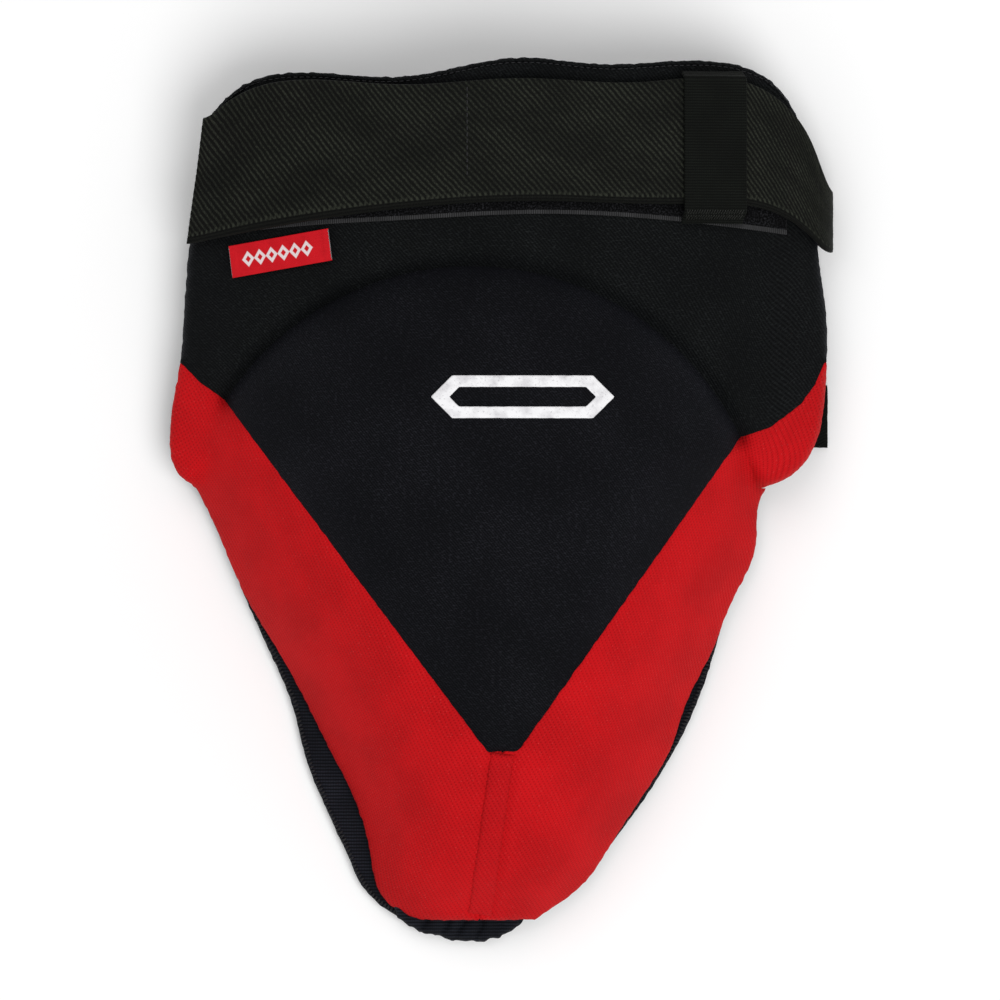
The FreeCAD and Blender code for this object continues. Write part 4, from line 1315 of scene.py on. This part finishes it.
GATHER_FULLNESS = 1.4        # width of the gathered cloth before it is gathered, per mm of it


class Gathered:
    """Surface of the gathered cloth at the crotch: pleats that run up and down and fan out."""

    def __init__(self, node):
        self.low, self.high = node_box(node)
        self.middle = (self.low + self.high) / 2

    def pleats(self, x, y):
        fan = (np.asarray(x) - self.middle[0]) / (1 + 0.012 * (self.high[1] - np.asarray(y)))
        sway = 1.6 * ripple(x, y, 9.0, 4.0)
        return np.abs(np.sin(math.pi * (fan + sway) / 6.4)) ** 0.8

    def __call__(self, x, y):
        y = np.asarray(y, float)
        rise = smoothstep(self.low[1] - 4, self.low[1] + 12, y)
        return self.low[2] + 3.6 + 3.2 * rise + 3.0 * self.pleats(x, y)

    def weave(self, x, y):
        return np.stack([np.asarray(x) * GATHER_FULLNESS, y], -1)


def build_gusset():
    """Gathered cloth at the lower end."""
    node = "crotch_gusset"
    surface = Gathered(node)
    outline = top_loops([node], from_below=True)[0]
    panel = Panel([outline], surface, pitch=0.9, step=0.8, fray=0.5)
    x, y = panel.plan.T
    depth = surface(x, y) - surface.low[2] - 0.1
    piece = panel.build("crotch_gather", 1.2, 2.4, np.minimum(3.4, depth * 0.7),
                        under=lambda p: np.minimum(depth, 1.2))
    finish_piece(piece, "guard", KNIT, "lining_knit", node)


build_rim_cloth()
build_rim_cushion()
build_binding()
build_gusset()


# ---- stitches ------------------------------------------------------------------------------
def stitch_row(line, surface, length=2.2, gap=0.8, lift=0.12, arch=0.22):
    """Short thread runs along a plan line, lying on a surface."""
    fine = resample(line, (length + gap) / 6)
    paths = []
    per = 6
    used = max(int(round(per * length / (length + gap))), 2)
    for k in range(0, len(fine) - per, per):
        part = fine[k:k + used + 1]
        z = surface(part[:, 0], part[:, 1]) + lift + arch * np.sin(np.linspace(0, math.pi, len(part)))
        paths.append(np.column_stack([part, z]))
    return paths


def build_stitches():
    """The row of stitches along the pad's upper edge."""
    outline = resample(top_loops(["top_binding"])[0], 1.0, closed=True)
    upper = outline[(outline[:, 1] > 152)]
    order = np.argsort(upper[:, 0])
    upper = upper[order]
    xs = np.arange(upper[:, 0].min() + 3, upper[:, 0].max() - 3, 1.0)
    crest = np.array([upper[np.abs(upper[:, 0] - x) < 1.2][:, 1].max() for x in xs])
    line = np.stack([xs, crest - 1.9], 1)
    surface = Relief(["top_binding"], blur=1.2)
    rows = stitch_row(line, surface, 1.6, 0.9, lift=0.2, arch=0.2)
    finish_piece(tubes("top_edge_stitches", rows, 0.16), "guard", BLACK_THREAD, "black_twill")


build_stitches()


# ---- carried-over CAD nodes ----------------------------------------------------------------
def dress(node, material):
    """Gives a carried-over CAD node a material of its own."""
    piece = frame["nodes"][node]
    piece.data.materials.clear()
    piece.data.materials.append(material)


dress("cup_shell", PLASTIC)


# ---- floor, light, camera ------------------------------------------------------------------
# This part is in metres.
FLOOR_HALF, FLOOR_GAP = 3.0, 0.0005
WORLD_STRENGTH = 0.55
CAMERA_HEIGHT = 7.0
SCENE_WIDTH = 0.4            # what the photograph's frame spans at the height of the covers
COVER_HEIGHT = 0.03


def build_stage():
    mesh = bpy.data.meshes.new("floor")
    lowest = min(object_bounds()[0][2], cad_box[0][2]) - FLOOR_GAP
    corners = [(x * FLOOR_HALF, y * FLOOR_HALF, lowest) for x, y in ((-1, -1), (1, -1), (1, 1), (-1, 1))]
    mesh.from_pydata(corners, [], [(0, 1, 2, 3)])
    floor = bpy.data.objects.new("floor", mesh)
    bpy.context.scene.collection.objects.link(floor)
    f = Finish("pale floor", roughness=0.9, specular=0.1, solid=True)
    f.finish(f.mix(f.noise(300.0), (0.95, 0.95, 0.95), (0.97, 0.97, 0.97)), f.noise(40.0), 0.05)
    mesh.materials.append(f.material)


def area_light(name, place, target, size, power):
    light = bpy.data.lights.new(name, "AREA")
    light.shape = "DISK"
    light.size = size
    light.energy = power
    lamp = bpy.data.objects.new(name, light)
    lamp.location = place
    lamp.rotation_euler = (Vector(target) - Vector(place)).to_track_quat("-Z", "Y").to_euler()
    bpy.context.scene.collection.objects.link(lamp)


def build_light():
    """Soft studio light: the key from the lower right, a weaker fill from the upper left."""
    world = bpy.data.worlds.new("studio")
    world.use_nodes = True
    background = world.node_tree.nodes["Background"]
    background.inputs["Color"].default_value = (1, 1, 1, 1)
    background.inputs["Strength"].default_value = WORLD_STRENGTH
    bpy.context.scene.world = world
    area_light("key", (0.8, -0.9, 2.3), (0, 0, 0), 1.9, 34)
    area_light("fill", (-0.7, 1.3, 2.2), (0, 0, 0), 2.0, 14)


def build_camera():
    """Looks straight down, as the photograph does, from far enough to show little perspective."""
    camera = bpy.data.cameras.new("camera")
    camera.lens = camera.sensor_width * (CAMERA_HEIGHT - COVER_HEIGHT) / SCENE_WIDTH
    camera.clip_end = 20
    holder = bpy.data.objects.new("camera", camera)
    holder.location = (0, 0, CAMERA_HEIGHT)
    bpy.context.scene.collection.objects.link(holder)
    bpy.context.scene.camera = holder
    bpy.context.scene.view_settings.view_transform = "Standard"


build_stage()
build_light()
build_camera()
